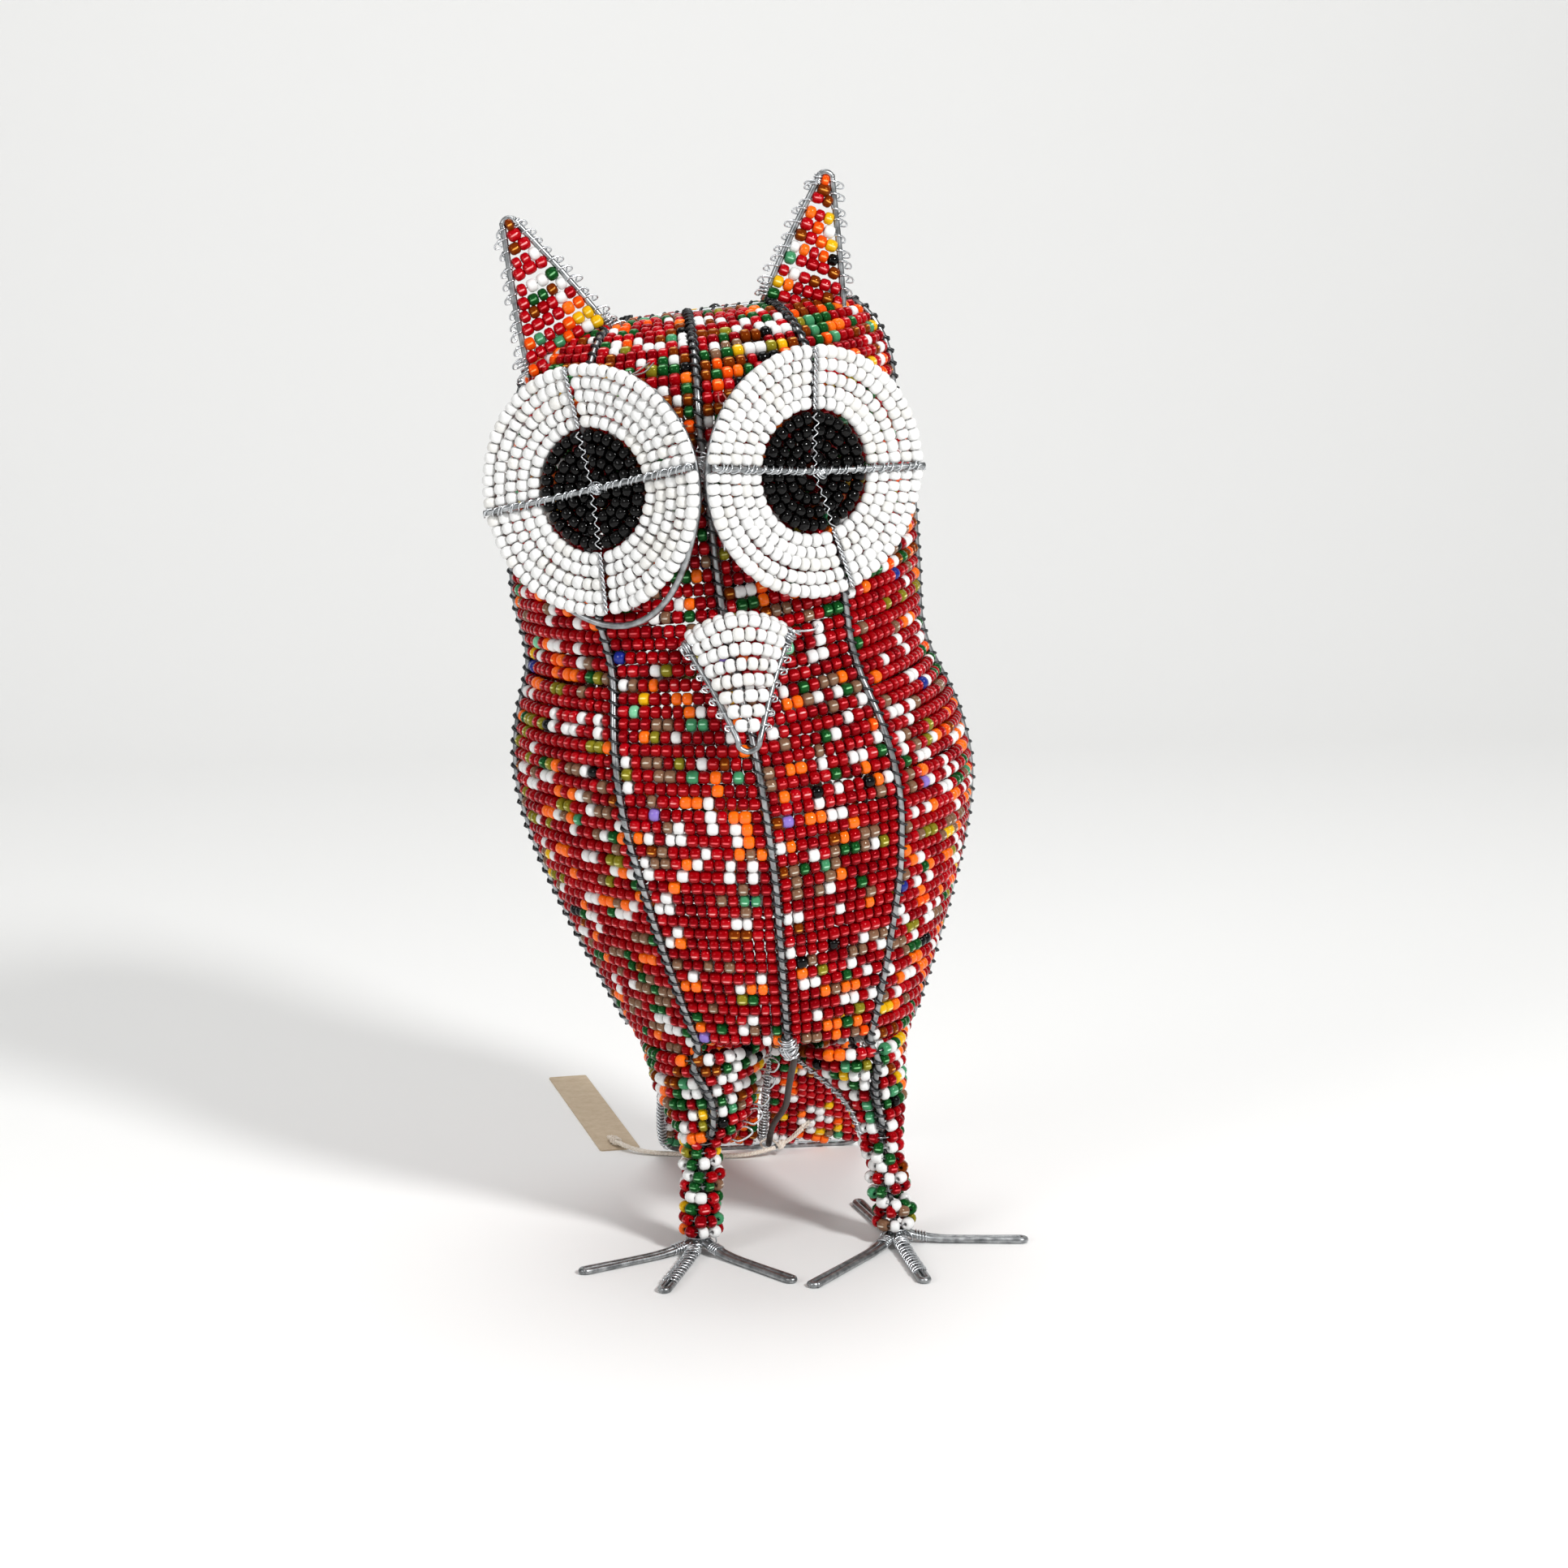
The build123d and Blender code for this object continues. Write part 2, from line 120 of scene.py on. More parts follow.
# ---- shape of the body, as in the CAD model ----
def between(rows, height, column):
    last = len(rows) - 1
    low = max([i for i in range(last) if rows[i][0] <= height], default=0)

    def slope(i):
        before, after = rows[max(i - 1, 0)], rows[min(i + 1, last)]
        return (after[column] - before[column]) / (after[0] - before[0])

    span = rows[low + 1][0] - rows[low][0]
    u = (height - rows[low][0]) / span
    start, end = rows[low][column], rows[low + 1][column]
    rise_in, rise_out = slope(low) * span, slope(low + 1) * span
    return (start * (2 * u**3 - 3 * u**2 + 1) + rise_in * (u**3 - 2 * u**2 + u)
            + end * (3 * u**2 - 2 * u**3) + rise_out * (u**3 - u**2))


def body_section(level):
    if level <= CROWN:
        return (level,) + tuple(between(BODY, level, column) for column in range(1, 6))
    turn = math.radians(min(90 * (level - CROWN) / RISE, 90.0))
    _, x, y, half_width, half_depth, tilt = BODY[-1]
    return (CROWN + RISE * math.sin(turn), x - math.sin(turn), y,
            RIDGE + (half_width - RIDGE) * math.cos(turn), half_depth * math.cos(turn), tilt + 1.5)


def thigh_section(side, level):
    rows = THIGHS[side][::-1]
    return (level,) + tuple(between(rows, level, column) for column in range(1, 5)) + (0.0,)


def on_section(section, angle, inset=0.0):
    height, x, y, half_width, half_depth, tilt = section
    turn = math.radians(angle)
    across = max(half_width - inset, 0.2) * math.sin(turn)
    deep = -max(half_depth - inset, 0.2) * math.cos(turn)
    lean = math.radians(tilt)
    return np.array([x + across * math.cos(lean), y + deep, height + across * math.sin(lean)])


def rib_angle(name, level):
    share = min(max((level - TWIST_FOOT) / (CROWN - TWIST_FOOT), 0.0), 1.0)
    return RIBS[name] + TWIST * share


def thigh_rib_angle(side, front, level):
    share = max(level - THIGH_STRAIGHT, 0.0) / (THIGHS[side][0][0] - THIGH_STRAIGHT)
    return THIGH_RIBS[side][0] * share if front else 180.0 + THIGH_RIBS[side][1] * share


def body_normal(level, angle):
    """Outward direction of the body's surface."""
    step = 0.6
    here = on_section(body_section(level), angle)
    up = on_section(body_section(min(level + step, CROWN + RISE - 0.3)), angle)
    down = on_section(body_section(level - step), angle)
    along = on_section(body_section(level), angle + step) - here
    normal = np.cross(along, up - down)
    return normal / (np.linalg.norm(normal) + 1e-9)


# ---- vectors ----
def unit(v):
    v = np.asarray(v, float)
    return v / (np.linalg.norm(v) + 1e-12)


def facing(heading):
    """Level directions ahead and to the right, for a heading in degrees from -Y towards +X."""
    turn = math.radians(heading)
    return (np.array([math.sin(turn), -math.cos(turn), 0.0]),
            np.array([math.cos(turn), math.sin(turn), 0.0]))


def spread(low, high, count):
    return [low + (high - low) * i / (count - 1) for i in range(count)]


def smooth_line(points, per_run=6):
    """Points along a smooth curve through the given ones."""
    pts = [np.asarray(p, float) for p in points]
    pts = [2 * pts[0] - pts[1]] + pts + [2 * pts[-1] - pts[-2]]
    out = []
    for a, b, c, d in zip(pts, pts[1:], pts[2:], pts[3:]):
        for i in range(per_run):
            u = i / per_run
            out.append(0.5 * ((2 * b) + (c - a) * u + (2 * a - 5 * b + 4 * c - d) * u * u
                              + (3 * b - a - 3 * c + d) * u**3))
    out.append(pts[-2])
    return np.array(out)


def lengths_along(points):
    steps = np.linalg.norm(np.diff(points, axis=0), axis=1)
    return np.concatenate([[0.0], np.cumsum(steps)])


def headings(points):
    """Unit direction of a line at each of its points."""
    tangents = np.gradient(points, axis=0)
    return tangents / (np.linalg.norm(tangents, axis=1)[:, None] + 1e-12)


def resample(points, step):
    along = lengths_along(points)
    count = max(int(round(along[-1] / step)), 2) + 1
    at = np.linspace(0, along[-1], count)
    return np.stack([np.interp(at, along, points[:, k]) for k in range(3)], axis=1)


# ---- meshes ----
class Mesh:
    """Collects vertices and faces for one piece, with a material for each face."""

    def __init__(self):
        self.verts, self.faces, self.slots, self.gleams, self.count = [], [], [], [], 0

    def add(self, verts, faces, slot=0, gleam=None):
        self.verts.append(np.asarray(verts, float))
        self.gleams.append(np.zeros(len(verts)) if gleam is None else gleam)
        self.faces.append(np.asarray(faces, int) + self.count)
        self.slots.append(np.full(len(faces), slot, int))
        self.count += len(verts)

    def tube(self, points, radius, sides=8, slot=0):
        """A round wire along the points, closed at both ends. radius is one number or one each."""
        points = np.asarray(points, float)
        n = len(points)
        radii = np.broadcast_to(np.asarray(radius, float), (n,))
        tangents = headings(points)
        side = unit(np.cross(tangents[0], [0.31, 0.52, 0.79]))
        frames = []
        for t in tangents:
            side = unit(side - t * side.dot(t))
            frames.append((side, np.cross(t, side)))
        a = np.array([f[0] for f in frames])
        b = np.array([f[1] for f in frames])
        turn = np.linspace(0, 2 * math.pi, sides, endpoint=False)
        ring = a[:, None, :] * np.cos(turn)[None, :, None] + b[:, None, :] * np.sin(turn)[None, :, None]
        verts = (points[:, None, :] + ring * radii[:, None, None]).reshape(-1, 3)
        k = np.arange(sides)
        rows = np.arange(n - 1)[:, None] * sides
        quads = np.stack([rows + k, rows + (k + 1) % sides, rows + sides + (k + 1) % sides,
                          rows + sides + k], axis=-1).reshape(-1, 4)
        cap0, cap1 = len(verts), len(verts) + 1
        verts = np.concatenate([verts, points[:1] - tangents[:1] * radii[0] * 0.35,
                                points[-1:] + tangents[-1:] * radii[-1] * 0.35])
        end = (n - 1) * sides
        lids = [(cap0, (i + 1) % sides, i, i) for i in k] + [(cap1, end + i, end + (i + 1) % sides,
                                                             end + (i + 1) % sides) for i in k]
        self.add(verts, np.concatenate([quads, np.array(lids)]), slot)

    def build(self, name, materials):
        verts = np.concatenate(self.verts)
        faces = np.concatenate(self.faces)
        slots = np.concatenate(self.slots)
        triangle = faces[:, 2] == faces[:, 3]
        sizes = np.where(triangle, 3, 4)
        loops = faces.reshape(-1)
        keep = np.ones(len(loops), bool)
        keep[3::4] = ~triangle
        mesh = bpy.data.meshes.new(name)
        mesh.vertices.add(len(verts))
        mesh.vertices.foreach_set("co", ((verts + FOOT_SHIFT) * MM).astype(np.float32).ravel())
        mesh.loops.add(int(keep.sum()))
        mesh.loops.foreach_set("vertex_index", loops[keep].astype(np.int32))
        mesh.polygons.add(len(faces))
        starts = np.concatenate([[0], np.cumsum(sizes)[:-1]])
        mesh.polygons.foreach_set("loop_start", starts.astype(np.int32))
        mesh.polygons.foreach_set("loop_total", sizes.astype(np.int32))
        for material in materials:
            mesh.materials.append(material)
        mesh.polygons.foreach_set("material_index", slots.astype(np.int32))
        mesh.polygons.foreach_set("use_smooth", np.full(len(faces), True))
        mesh.update(calc_edges=True)
        mesh.validate()
        # The painted highlight mask of the glass beads is kept on the mesh as a point attribute.
        gleams = np.concatenate(self.gleams)
        if gleams.any():
            gleam = mesh.attributes.new("gleam", "FLOAT", "POINT")
            gleam.data.foreach_set("value", gleams.astype(np.float32))
        ob = bpy.data.objects.new(name, mesh)
        bpy.context.scene.collection.objects.link(ob)
        return ob


def finish_piece(mesh, name, materials, nodes=()):
    ob = mesh.build(name, materials)
    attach(ob, ROOT)
    if nodes:
        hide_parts(*nodes)
    return ob


def finish_rows(beads, wires, name, node):
    """A piece of beads and the piece of thin wire that they are on."""
    finish_piece(beads, "beads_" + name, BEAD_MATERIALS, [node])
    finish_piece(wires, "stringing_" + name, [STRINGING])


# ---- one seed bead ----
BEAD_PROFILE = [(-0.44, 0.30), (-0.50, 0.52), (-0.40, 0.84), (-0.20, 1.0), (0.20, 1.0), (0.40, 0.84),
                (0.50, 0.52), (0.44, 0.30)]
BEAD_SIDES = 12


def bead_template():
    """A short rounded tube with a hole, along +X: one unit long and one unit in radius."""
    turn = np.linspace(0, 2 * math.pi, BEAD_SIDES, endpoint=False)
    verts = [(x, r * math.cos(a), r * math.sin(a)) for x, r in BEAD_PROFILE for a in turn]
    count = len(BEAD_PROFILE)
    faces = []
    for i in range(count):
        for j in range(BEAD_SIDES):
            a, b = i * BEAD_SIDES, ((i + 1) % count) * BEAD_SIDES
            k = (j + 1) % BEAD_SIDES
            faces.append((a + j, b + j, b + k, a + k))
    return np.array(verts), np.array(faces)


def bead_painted_highlight():
    """Painted highlight on a glass bead: where a bright line is painted into its colour, down its outer side
    and its inner side.
    """
    by_ring = [0.0, 0.0, 0.6, 1.0, 1.0, 0.6, 0.0, 0.0]
    by_side = [1.0 if j in (BEAD_SIDES // 4, 3 * BEAD_SIDES // 4) else 0.0 for j in range(BEAD_SIDES)]
    return np.array([r * k for r in by_ring for k in by_side])


BEAD_VERTS, BEAD_FACES = bead_template()
BEAD_PAINTED_HIGHLIGHT = bead_painted_highlight()


def add_bead(mesh, place, axis, out, slot, size=1.0, long=1.0):
    """A bead at place with its hole along axis. Size and length differ a little from bead to bead."""
    axis = unit(np.asarray(axis) + np.array([rng.gauss(0, 0.05) for _ in range(3)]))
    up = unit(np.asarray(out) - axis * axis.dot(out))
    side = np.cross(axis, up)
    radius = BEAD_R * size * rng.uniform(0.93, 1.05)
    length = BEAD_LONG * long * rng.uniform(0.84, 1.10)
    local = BEAD_VERTS * np.array([length, radius, radius * rng.uniform(0.95, 1.03)])
    centre = np.asarray(place) + up * rng.gauss(0, 0.10)
    mesh.add(centre + local @ np.stack([axis, side, up]), BEAD_FACES, slot, BEAD_PAINTED_HIGHLIGHT)


# ---- materials ----
def new_material(name):
    material = bpy.data.materials.new(name)
    material.use_nodes = True
    tree = material.node_tree
    shader = tree.nodes["Principled BSDF"]
    return material, tree, shader


def textured(tree, scale, detail=3.0):
    coordinates = tree.nodes.new("ShaderNodeTexCoord")
    noise = tree.nodes.new("ShaderNodeTexNoise")
    noise.inputs["Scale"].default_value = scale
    noise.inputs["Detail"].default_value = detail
    tree.links.new(coordinates.outputs["Object"], noise.inputs["Vector"])
    return noise


def ranged(tree, source, low, high):
    reach = tree.nodes.new("ShaderNodeMapRange")
    reach.inputs["To Min"].default_value = low
    reach.inputs["To Max"].default_value = high
    tree.links.new(source, reach.inputs["Value"])
    return reach.outputs["Result"]


def mottled(tree, shader, source, low, dark, high, light):
    """Base colour from dark to light as the source goes from low to high."""
    ramp = tree.nodes.new("ShaderNodeValToRGB")
    for stop, position, colour in zip(ramp.color_ramp.elements, (low, high), (dark, light)):
        stop.position = position
        stop.color = colour + (1.0,)
    tree.links.new(source, ramp.inputs["Fac"])
    tree.links.new(ramp.outputs["Color"], shader.inputs["Base Color"])


def bumped(tree, shader, source, strength, distance):
    bump = tree.nodes.new("ShaderNodeBump")
    bump.inputs["Strength"].default_value = strength
    bump.inputs["Distance"].default_value = distance
    tree.links.new(source, bump.inputs["Height"])
    tree.links.new(bump.outputs["Normal"], shader.inputs["Normal"])


def glass_material(name, colour, painted_highlight_and_tint, clear):
    """Bead glass. The highlight colour, when given, is a painted highlight: a bright line painted down each
    bead of coloured glass, and it also tints the bead's reflections. clear is how much light goes through the
    bead."""
    material, tree, shader = new_material(name)
    shader.inputs["Base Color"].default_value = colour + (1.0,)
    shader.inputs["Transmission Weight"].default_value = clear
    shader.inputs["IOR"].default_value = 1.5
    shader.inputs["Specular IOR Level"].default_value = 0.36 if max(colour) > 0.01 else 0.20
    if painted_highlight_and_tint:
        shader.inputs["Specular Tint"].default_value = painted_highlight_and_tint + (1.0,)
    noise = textured(tree, 900.0)
    tree.links.new(ranged(tree, noise.outputs["Fac"], BEAD_ROUGH * 0.6, BEAD_ROUGH * 1.6),
                   shader.inputs["Roughness"])
    bumped(tree, shader, noise.outputs["Fac"], 0.10, 0.0002)
    # Painted highlight: the bright line of the mask, narrowed and made patchy, is mixed into the base colour.
    if painted_highlight_and_tint:
        gleam = tree.nodes.new("ShaderNodeAttribute")
        gleam.attribute_name = "gleam"
        narrow = tree.nodes.new("ShaderNodeMapRange")
        narrow.interpolation_type = "SMOOTHSTEP"
        narrow.inputs["From Min"].default_value = 0.60
        narrow.inputs["From Max"].default_value = 1.0
        tree.links.new(gleam.outputs["Fac"], narrow.inputs["Value"])
        patchy = textured(tree, 330.0, 1.0)
        strength = tree.nodes.new("ShaderNodeMath")
        strength.operation = "MULTIPLY"
        tree.links.new(narrow.outputs["Result"], strength.inputs[0])
        tree.links.new(ranged(tree, patchy.outputs["Fac"], 0.25, 1.5), strength.inputs[1])
        mix = tree.nodes.new("ShaderNodeMix")
        mix.data_type = "RGBA"
        mix.inputs["A"].default_value = colour + (1.0,)
        mix.inputs["B"].default_value = painted_highlight_and_tint + (1.0,)
        tree.links.new(strength.outputs["Value"], mix.inputs["Factor"])
        tree.links.new(mix.outputs["Result"], shader.inputs["Base Color"])
    return material


def wire_material(name, dark, light, rough):
    """Drawn and galvanised wire: grey metal with a cloudy zinc bloom."""
    material, tree, shader = new_material(name)
    shader.inputs["Metallic"].default_value = 1.0
    noise = textured(tree, 420.0, 6.0)
    mottled(tree, shader, noise.outputs["Fac"], 0.32, dark, 0.68, light)
    tree.links.new(ranged(tree, noise.outputs["Fac"], rough - 0.12, rough + 0.14), shader.inputs["Roughness"])
    bumped(tree, shader, noise.outputs["Fac"], 0.25, 0.0002)
    return material


def thin_wire_material(name, colour, rough):
    """Bright thin wire, its shine broken up along its length."""
    material, tree, shader = new_material(name)
    shader.inputs["Metallic"].default_value = 1.0
    shader.inputs["Base Color"].default_value = colour + (1.0,)
    noise = textured(tree, 700.0, 4.0)
    tree.links.new(ranged(tree, noise.outputs["Fac"], rough - 0.12, rough + 0.16), shader.inputs["Roughness"])
    bumped(tree, shader, noise.outputs["Fac"], 0.2, 0.0002)
    return material


HEAVY = wire_material("galvanised_wire", (0.17, 0.18, 0.185), (0.46, 0.475, 0.485), 0.34)
BINDING = thin_wire_material("binding_wire", (0.62, 0.64, 0.66), 0.27)
STRINGING = thin_wire_material("stringing_wire", (0.33, 0.33, 0.34), 0.34)
RIB_WIRE = wire_material("rib_wire", (0.20, 0.21, 0.215), (0.48, 0.49, 0.50), 0.30)
WINDING = thin_wire_material("winding_wire", (0.060, 0.062, 0.065), 0.36)
# Painted shade: the galvanised wire's mottled grey darkened nearly to black, for the brace that lies in shade
# under the body.
SHADED_WIRE = wire_material("dark_wire", (0.030, 0.027, 0.025), (0.09, 0.08, 0.075), 0.5)

# name: colour, colour of the painted highlight (also the tint of its reflections), clearness
GLASS = {
    "ruby": ((0.275, 0.000, 0.002), (0.95, 0.14, 0.16), 0.0),
    "ruby_deep": ((0.185, 0.000, 0.002), (0.80, 0.08, 0.10), 0.0),
    "ruby_bright": ((0.400, 0.000, 0.004), (1.00, 0.40, 0.40), 0.0),
    "white": ((0.80, 0.80, 0.79), None, 0.0),
    "white_warm": ((0.76, 0.75, 0.72), None, 0.0),
    "orange": ((0.98, 0.150, 0.003), None, 0.0),
    "clear": ((0.27, 0.135, 0.075), (0.98, 0.90, 0.76), 0.3),
    "green": ((0.004, 0.060, 0.010), (0.25, 0.62, 0.28), 0.0),
    "green_pale": ((0.050, 0.250, 0.110), (0.50, 0.85, 0.62), 0.0),
    "amber": ((0.150, 0.020, 0.001), (0.95, 0.42, 0.08), 0.0),
    "flame": ((0.820, 0.070, 0.002), (1.00, 0.55, 0.20), 0.0),
    "yellow": ((0.760, 0.420, 0.004), (1.00, 0.88, 0.35), 0.0),
    "olive": ((0.210, 0.180, 0.010), (0.85, 0.80, 0.30), 0.0),
    "lavender": ((0.240, 0.160, 0.540), None, 0.0),
    "navy": ((0.008, 0.020, 0.220), None, 0.0),
    "mint": ((0.190, 0.560, 0.320), None, 0.0),
    "black": ((0.0012, 0.001, 0.001), None, 0.0),
}
GLASSES = {name: glass_material("bead_" + name, *values) for name, values in GLASS.items()}
SLOTS = {name: i for i, name in enumerate(GLASS)}
BEAD_MATERIALS = list(GLASSES.values())

MIXES = {
    "body": {"ruby": 40, "ruby_deep": 16, "ruby_bright": 8, "white": 11, "orange": 8, "clear": 7,
             "green": 3, "green_pale": 0.4, "amber": 1.2, "flame": 0.5, "olive": 2.0, "yellow": 0.4,
             "lavender": 0.3, "navy": 0.3, "mint": 0.2, "black": 0.6},
    "head": {"ruby": 20, "ruby_deep": 10, "ruby_bright": 10, "white": 15, "amber": 14, "green": 13,
             "flame": 6, "yellow": 3, "olive": 3, "clear": 2, "green_pale": 3, "orange": 3, "black": 1.2},
    "leg": {"ruby": 18, "ruby_deep": 8, "ruby_bright": 8, "white": 26, "amber": 6, "green": 18,
            "orange": 4, "yellow": 3, "clear": 4, "green_pale": 4, "black": 2, "olive": 2},
    "tail": {"ruby_bright": 34, "ruby": 16, "ruby_deep": 6, "orange": 7, "flame": 7, "white": 9, "green": 6,
             "yellow": 4, "amber": 4, "clear": 3, "green_pale": 2},
    "ear": {"ruby_bright": 42, "ruby": 6, "white": 16, "amber": 12, "green": 6, "flame": 6, "yellow": 5,
            "green_pale": 4, "orange": 3, "black": 1, "clear": 2},
    "white": {"white": 8, "white_warm": 2},
    "black": {"black": 1},
}


def colours(mix_at):
    """Endless bead colours. mix_at gives the mix. A colour often comes twice running, and only red more."""
    mix = MIXES[mix_at]
    last, run = None, 0
    while True:
        colour = last if last and rng.random() < 0.16 else rng.choices(list(mix), list(mix.values()))[0]
        if colour == last and run > 1 and len(mix) > 2 and not colour.startswith("ruby"):
            continue
        run = run + 1 if colour == last else 1
        last = colour
        yield SLOTS[colour]


# ---- rows of beads ----
def under_eye(place):
    """Whether a bead of the body would stand in an eye's dish. There the real rows are pressed back."""
    for (middle, heading) in EYES.values():
        out, _ = facing(heading)
        off = np.asarray(place) - np.array(middle)
        rise = off.dot(out)
        radius = np.linalg.norm(off - out * rise)
        if radius < EYE_R - 2.0 and DISH * (radius / EYE_R - 1) - 2.1 * BEAD_R < rise:
            return True
    return False


def at_length(at, along, line):
    return np.array([np.interp(at, along, line[:, k]) for k in range(3)])


def string_row(beads, wires, line, outs, colour, ends=1.5, size=1.0, taken=None, keep_off=0.0):
    """Beads along a line of points with outward directions, and the thin wire that they are on."""
    along = lengths_along(line)
    total = along[-1]
    wires.tube(line, STRING_WIRE_R, 5)
    room = total - 2 * ends
    count = int(round(room / (PITCH * size)))
    if count < 1:
        return
    pitch = room / count
    for i in range(count):
        at = ends + (i + 0.5) * pitch
        place = at_length(at, along, line)
        ahead = at_length(min(at + 1, total), along, line)
        behind = at_length(max(at - 1, 0), along, line)
        out = at_length(at, along, outs)
        slot = next(colour)
        if taken is not None:
            if under_eye(place):
                continue
            if len(taken) and np.min(np.linalg.norm(np.array(taken[-260:]) - place, axis=1)) < keep_off:
                continue
            taken.append(place)
        add_bead(beads, place, ahead - behind, out, slot, size, min(pitch / (PITCH * size), 1.12))


def row_levels(angle, low, high):
    """Levels of the body a row apart, measured over its surface."""
    fine = np.linspace(low, high, 400)
    line = np.array([on_section(body_section(v), angle) for v in fine])
    along = lengths_along(line)
    count = int(along[-1] / ROW)
    return [float(np.interp(i * ROW + ROW / 2, along, fine)) for i in range(count)]


def row_rise(angle, level):
    """Rows climb towards the owl's left side, most in the middle of the body."""
    fade = min(max((level - 70) / 25, 0), 1) * min(max((255 - level) / 40, 0), 1)
    return 8.0 * fade * max(math.sin(math.radians(angle)), 0.0)


FLATTEN = 0.28               # how far a row is pulled straight between two ribs


def past_front(first, last):
    """A full turn for the panel that closes the round, or nothing."""
    return 360.0 if RIBS[last] < RIBS[first] else 0.0


def body_row(first, last, level, wobble):
    start, end = rib_angle(first, level), rib_angle(last, level) + past_front(first, last)
    line, outs = [], []
    for i in range(13):
        share = i / 12
        angle = start + (end - start) * share
        height = level + row_rise(angle, level) + wobble * math.sin(math.pi * share)
        height = min(height, CROWN + RISE - 0.6)
        normal = body_normal(height, angle)
        line.append(on_section(body_section(height), angle) - normal * BEAD_R)
        outs.append(normal)
    line, outs = np.array(line), np.array(outs)
    share = np.linspace(0, 1, 13)[:, None]
    chord = line[0] * (1 - share) + line[-1] * share
    return line + (chord - line) * FLATTEN, outs


def bead_panel(first, last):
    beads, wires = Mesh(), Mesh()
    middle = (RIBS[first] + (RIBS[last] + past_front(first, last))) / 2
    taken = []
    low = PANEL_FOOT + (6.0 if "front" in (first, last) else 0.0)
    body, head = colours("body"), colours("head")
    for level in row_levels(middle, low, CROWN + RISE - 1.0):
        line, outs = body_row(first, last, level, rng.gauss(0, 0.22))
        share = min(max((level - 205) / 40, 0), 1)
        colour = head if rng.random() < share else body
        string_row(beads, wires, line, outs, colour, ends=1.1, taken=taken, keep_off=2.75)
    name = first + "_to_" + last
    finish_rows(beads, wires, name, "bead_panel_" + name)


def bead_panels():
    names = list(RIBS)
    for first, last in zip(names, names[1:] + names[:1]):
        bead_panel(first, last)


# ---- ribs and what is wound round them ----
def wind(wires, line, radius, pitch, wire_r=BINDING_R, sides=5, phase=0.0, ease=0.12):
    """Thin wire wound round a heavier one, a turn every pitch."""
    line = resample(np.asarray(line, float), pitch / 9)
    tangents = headings(line)
    side = unit(np.cross(tangents[0], [0.3, 0.5, 0.8]))
    out = []
    for i, (p, t) in enumerate(zip(line, tangents)):
        side = unit(side - t * side.dot(t))
        turn = phase - 2 * math.pi * i / 9
        off = (radius + wire_r) * (1 + ease * math.sin(i * 0.71 + phase) * rng.uniform(0.3, 1))
        out.append(p + (side * math.cos(turn) + np.cross(t, side) * math.sin(turn)) * off)
    wires.tube(np.array(out), wire_r, sides)


def rib_line(name):
    levels = spread(PANEL_FOOT + 5, CROWN, 26) + spread(CROWN, CROWN + RISE - 0.5, 14)[1:]
    line = []
    for v in levels:
        angle = rib_angle(name, v)
        height = min(v, CROWN + RISE - 0.5)
        line.append(on_section(body_section(height), angle) - body_normal(height, angle) * RIB_R * 0.9)
    return line


def leg_line(side, front):
    shift = -RIB_R - 0.2 if front else RIB_R + 0.2
    way = []
    for v in (64.0, 58.0, 52.0, 46.0, 40.5):
        way.append(on_section(thigh_section(side, v), thigh_rib_angle(side, front, v), RIB_R))
    top, foot = LEG_HEAD[side], ANKLE[side]
    way.append(np.array([top[0], top[1] + shift * 1.7, 35.0]))
    way.append(np.array([(top[0] * 2 + foot[0]) / 3, shift * 1.3, 22.0]))
    way.append(np.array([foot[0], shift, 3.0]))
    return way


def ribs():
    for name in RIBS:
        heavy, thin = Mesh(), Mesh()
        line = rib_line(name)
        if name.startswith("front_") or name.startswith("back_"):
            side = name.split("_")[-1]
            line = leg_line(side, name.startswith("front_"))[::-1] + line
        smooth = smooth_line(line, 3)
        heavy.tube(smooth, RIB_R, 12)
        finish_piece(heavy, "rib_wire_" + name, [RIB_WIRE], ["rib_" + name])
        wind(thin, smooth, RIB_R - 0.05, WINDING_PITCH, WINDING_R, 6, phase=rng.uniform(0, 6), ease=0.2)
        finish_piece(thin, "rib_winding_" + name, [WINDING])


def crown_ridge():
    """The cross wire that the ribs meet on at the top of the head, and the row of beads before it."""
    heavy, thin = Mesh(), Mesh()
    level = CROWN + RISE - 0.3
    ends = [on_section(body_section(level), a) - np.array([0, 0, RIB_R * 1.9]) for a in (272.0, 88.0)]
    line = smooth_line([ends[0], (ends[0] + ends[1]) / 2 + np.array([0, 0, 0.6]), ends[1]], 12)
    heavy.tube(line, RIB_R, 12)
    beads, stringing = Mesh(), Mesh()
    colour = colours("head")
    row = line[1:-1] + np.array([0, -3.3, -1.5])
    string_row(beads, stringing, row, np.tile([0, 0, 1.0], (len(row), 1)), colour, ends=0.6)
    finish_rows(beads, stringing, "crown", "crown_beads")
    finish_piece(heavy, "crown_wire", [RIB_WIRE])
    wind(thin, line, RIB_R - 0.05, WINDING_PITCH, WINDING_R, 6, phase=1.0, ease=0.2)
    finish_piece(thin, "crown_winding", [WINDING])


# ---- thighs, legs and feet ----
def thigh_row(side, level, first, last, tilt):
    line, outs = [], []
    section = thigh_section(side, level)
    for i in range(11):
        angle = first + (last - first) * i / 10
        middle = np.array([section[1], section[2], level])
        climb = tilt * math.sin(math.radians(angle))
        here = thigh_section(side, min(max(level + climb, 36.0), 72.0))
        point = on_section(here, angle, BEAD_R)
        out = unit((point - middle) * np.array([1, 1, 0.0]))
        line.append(point)
        outs.append(out)
    return np.array(line), np.array(outs)


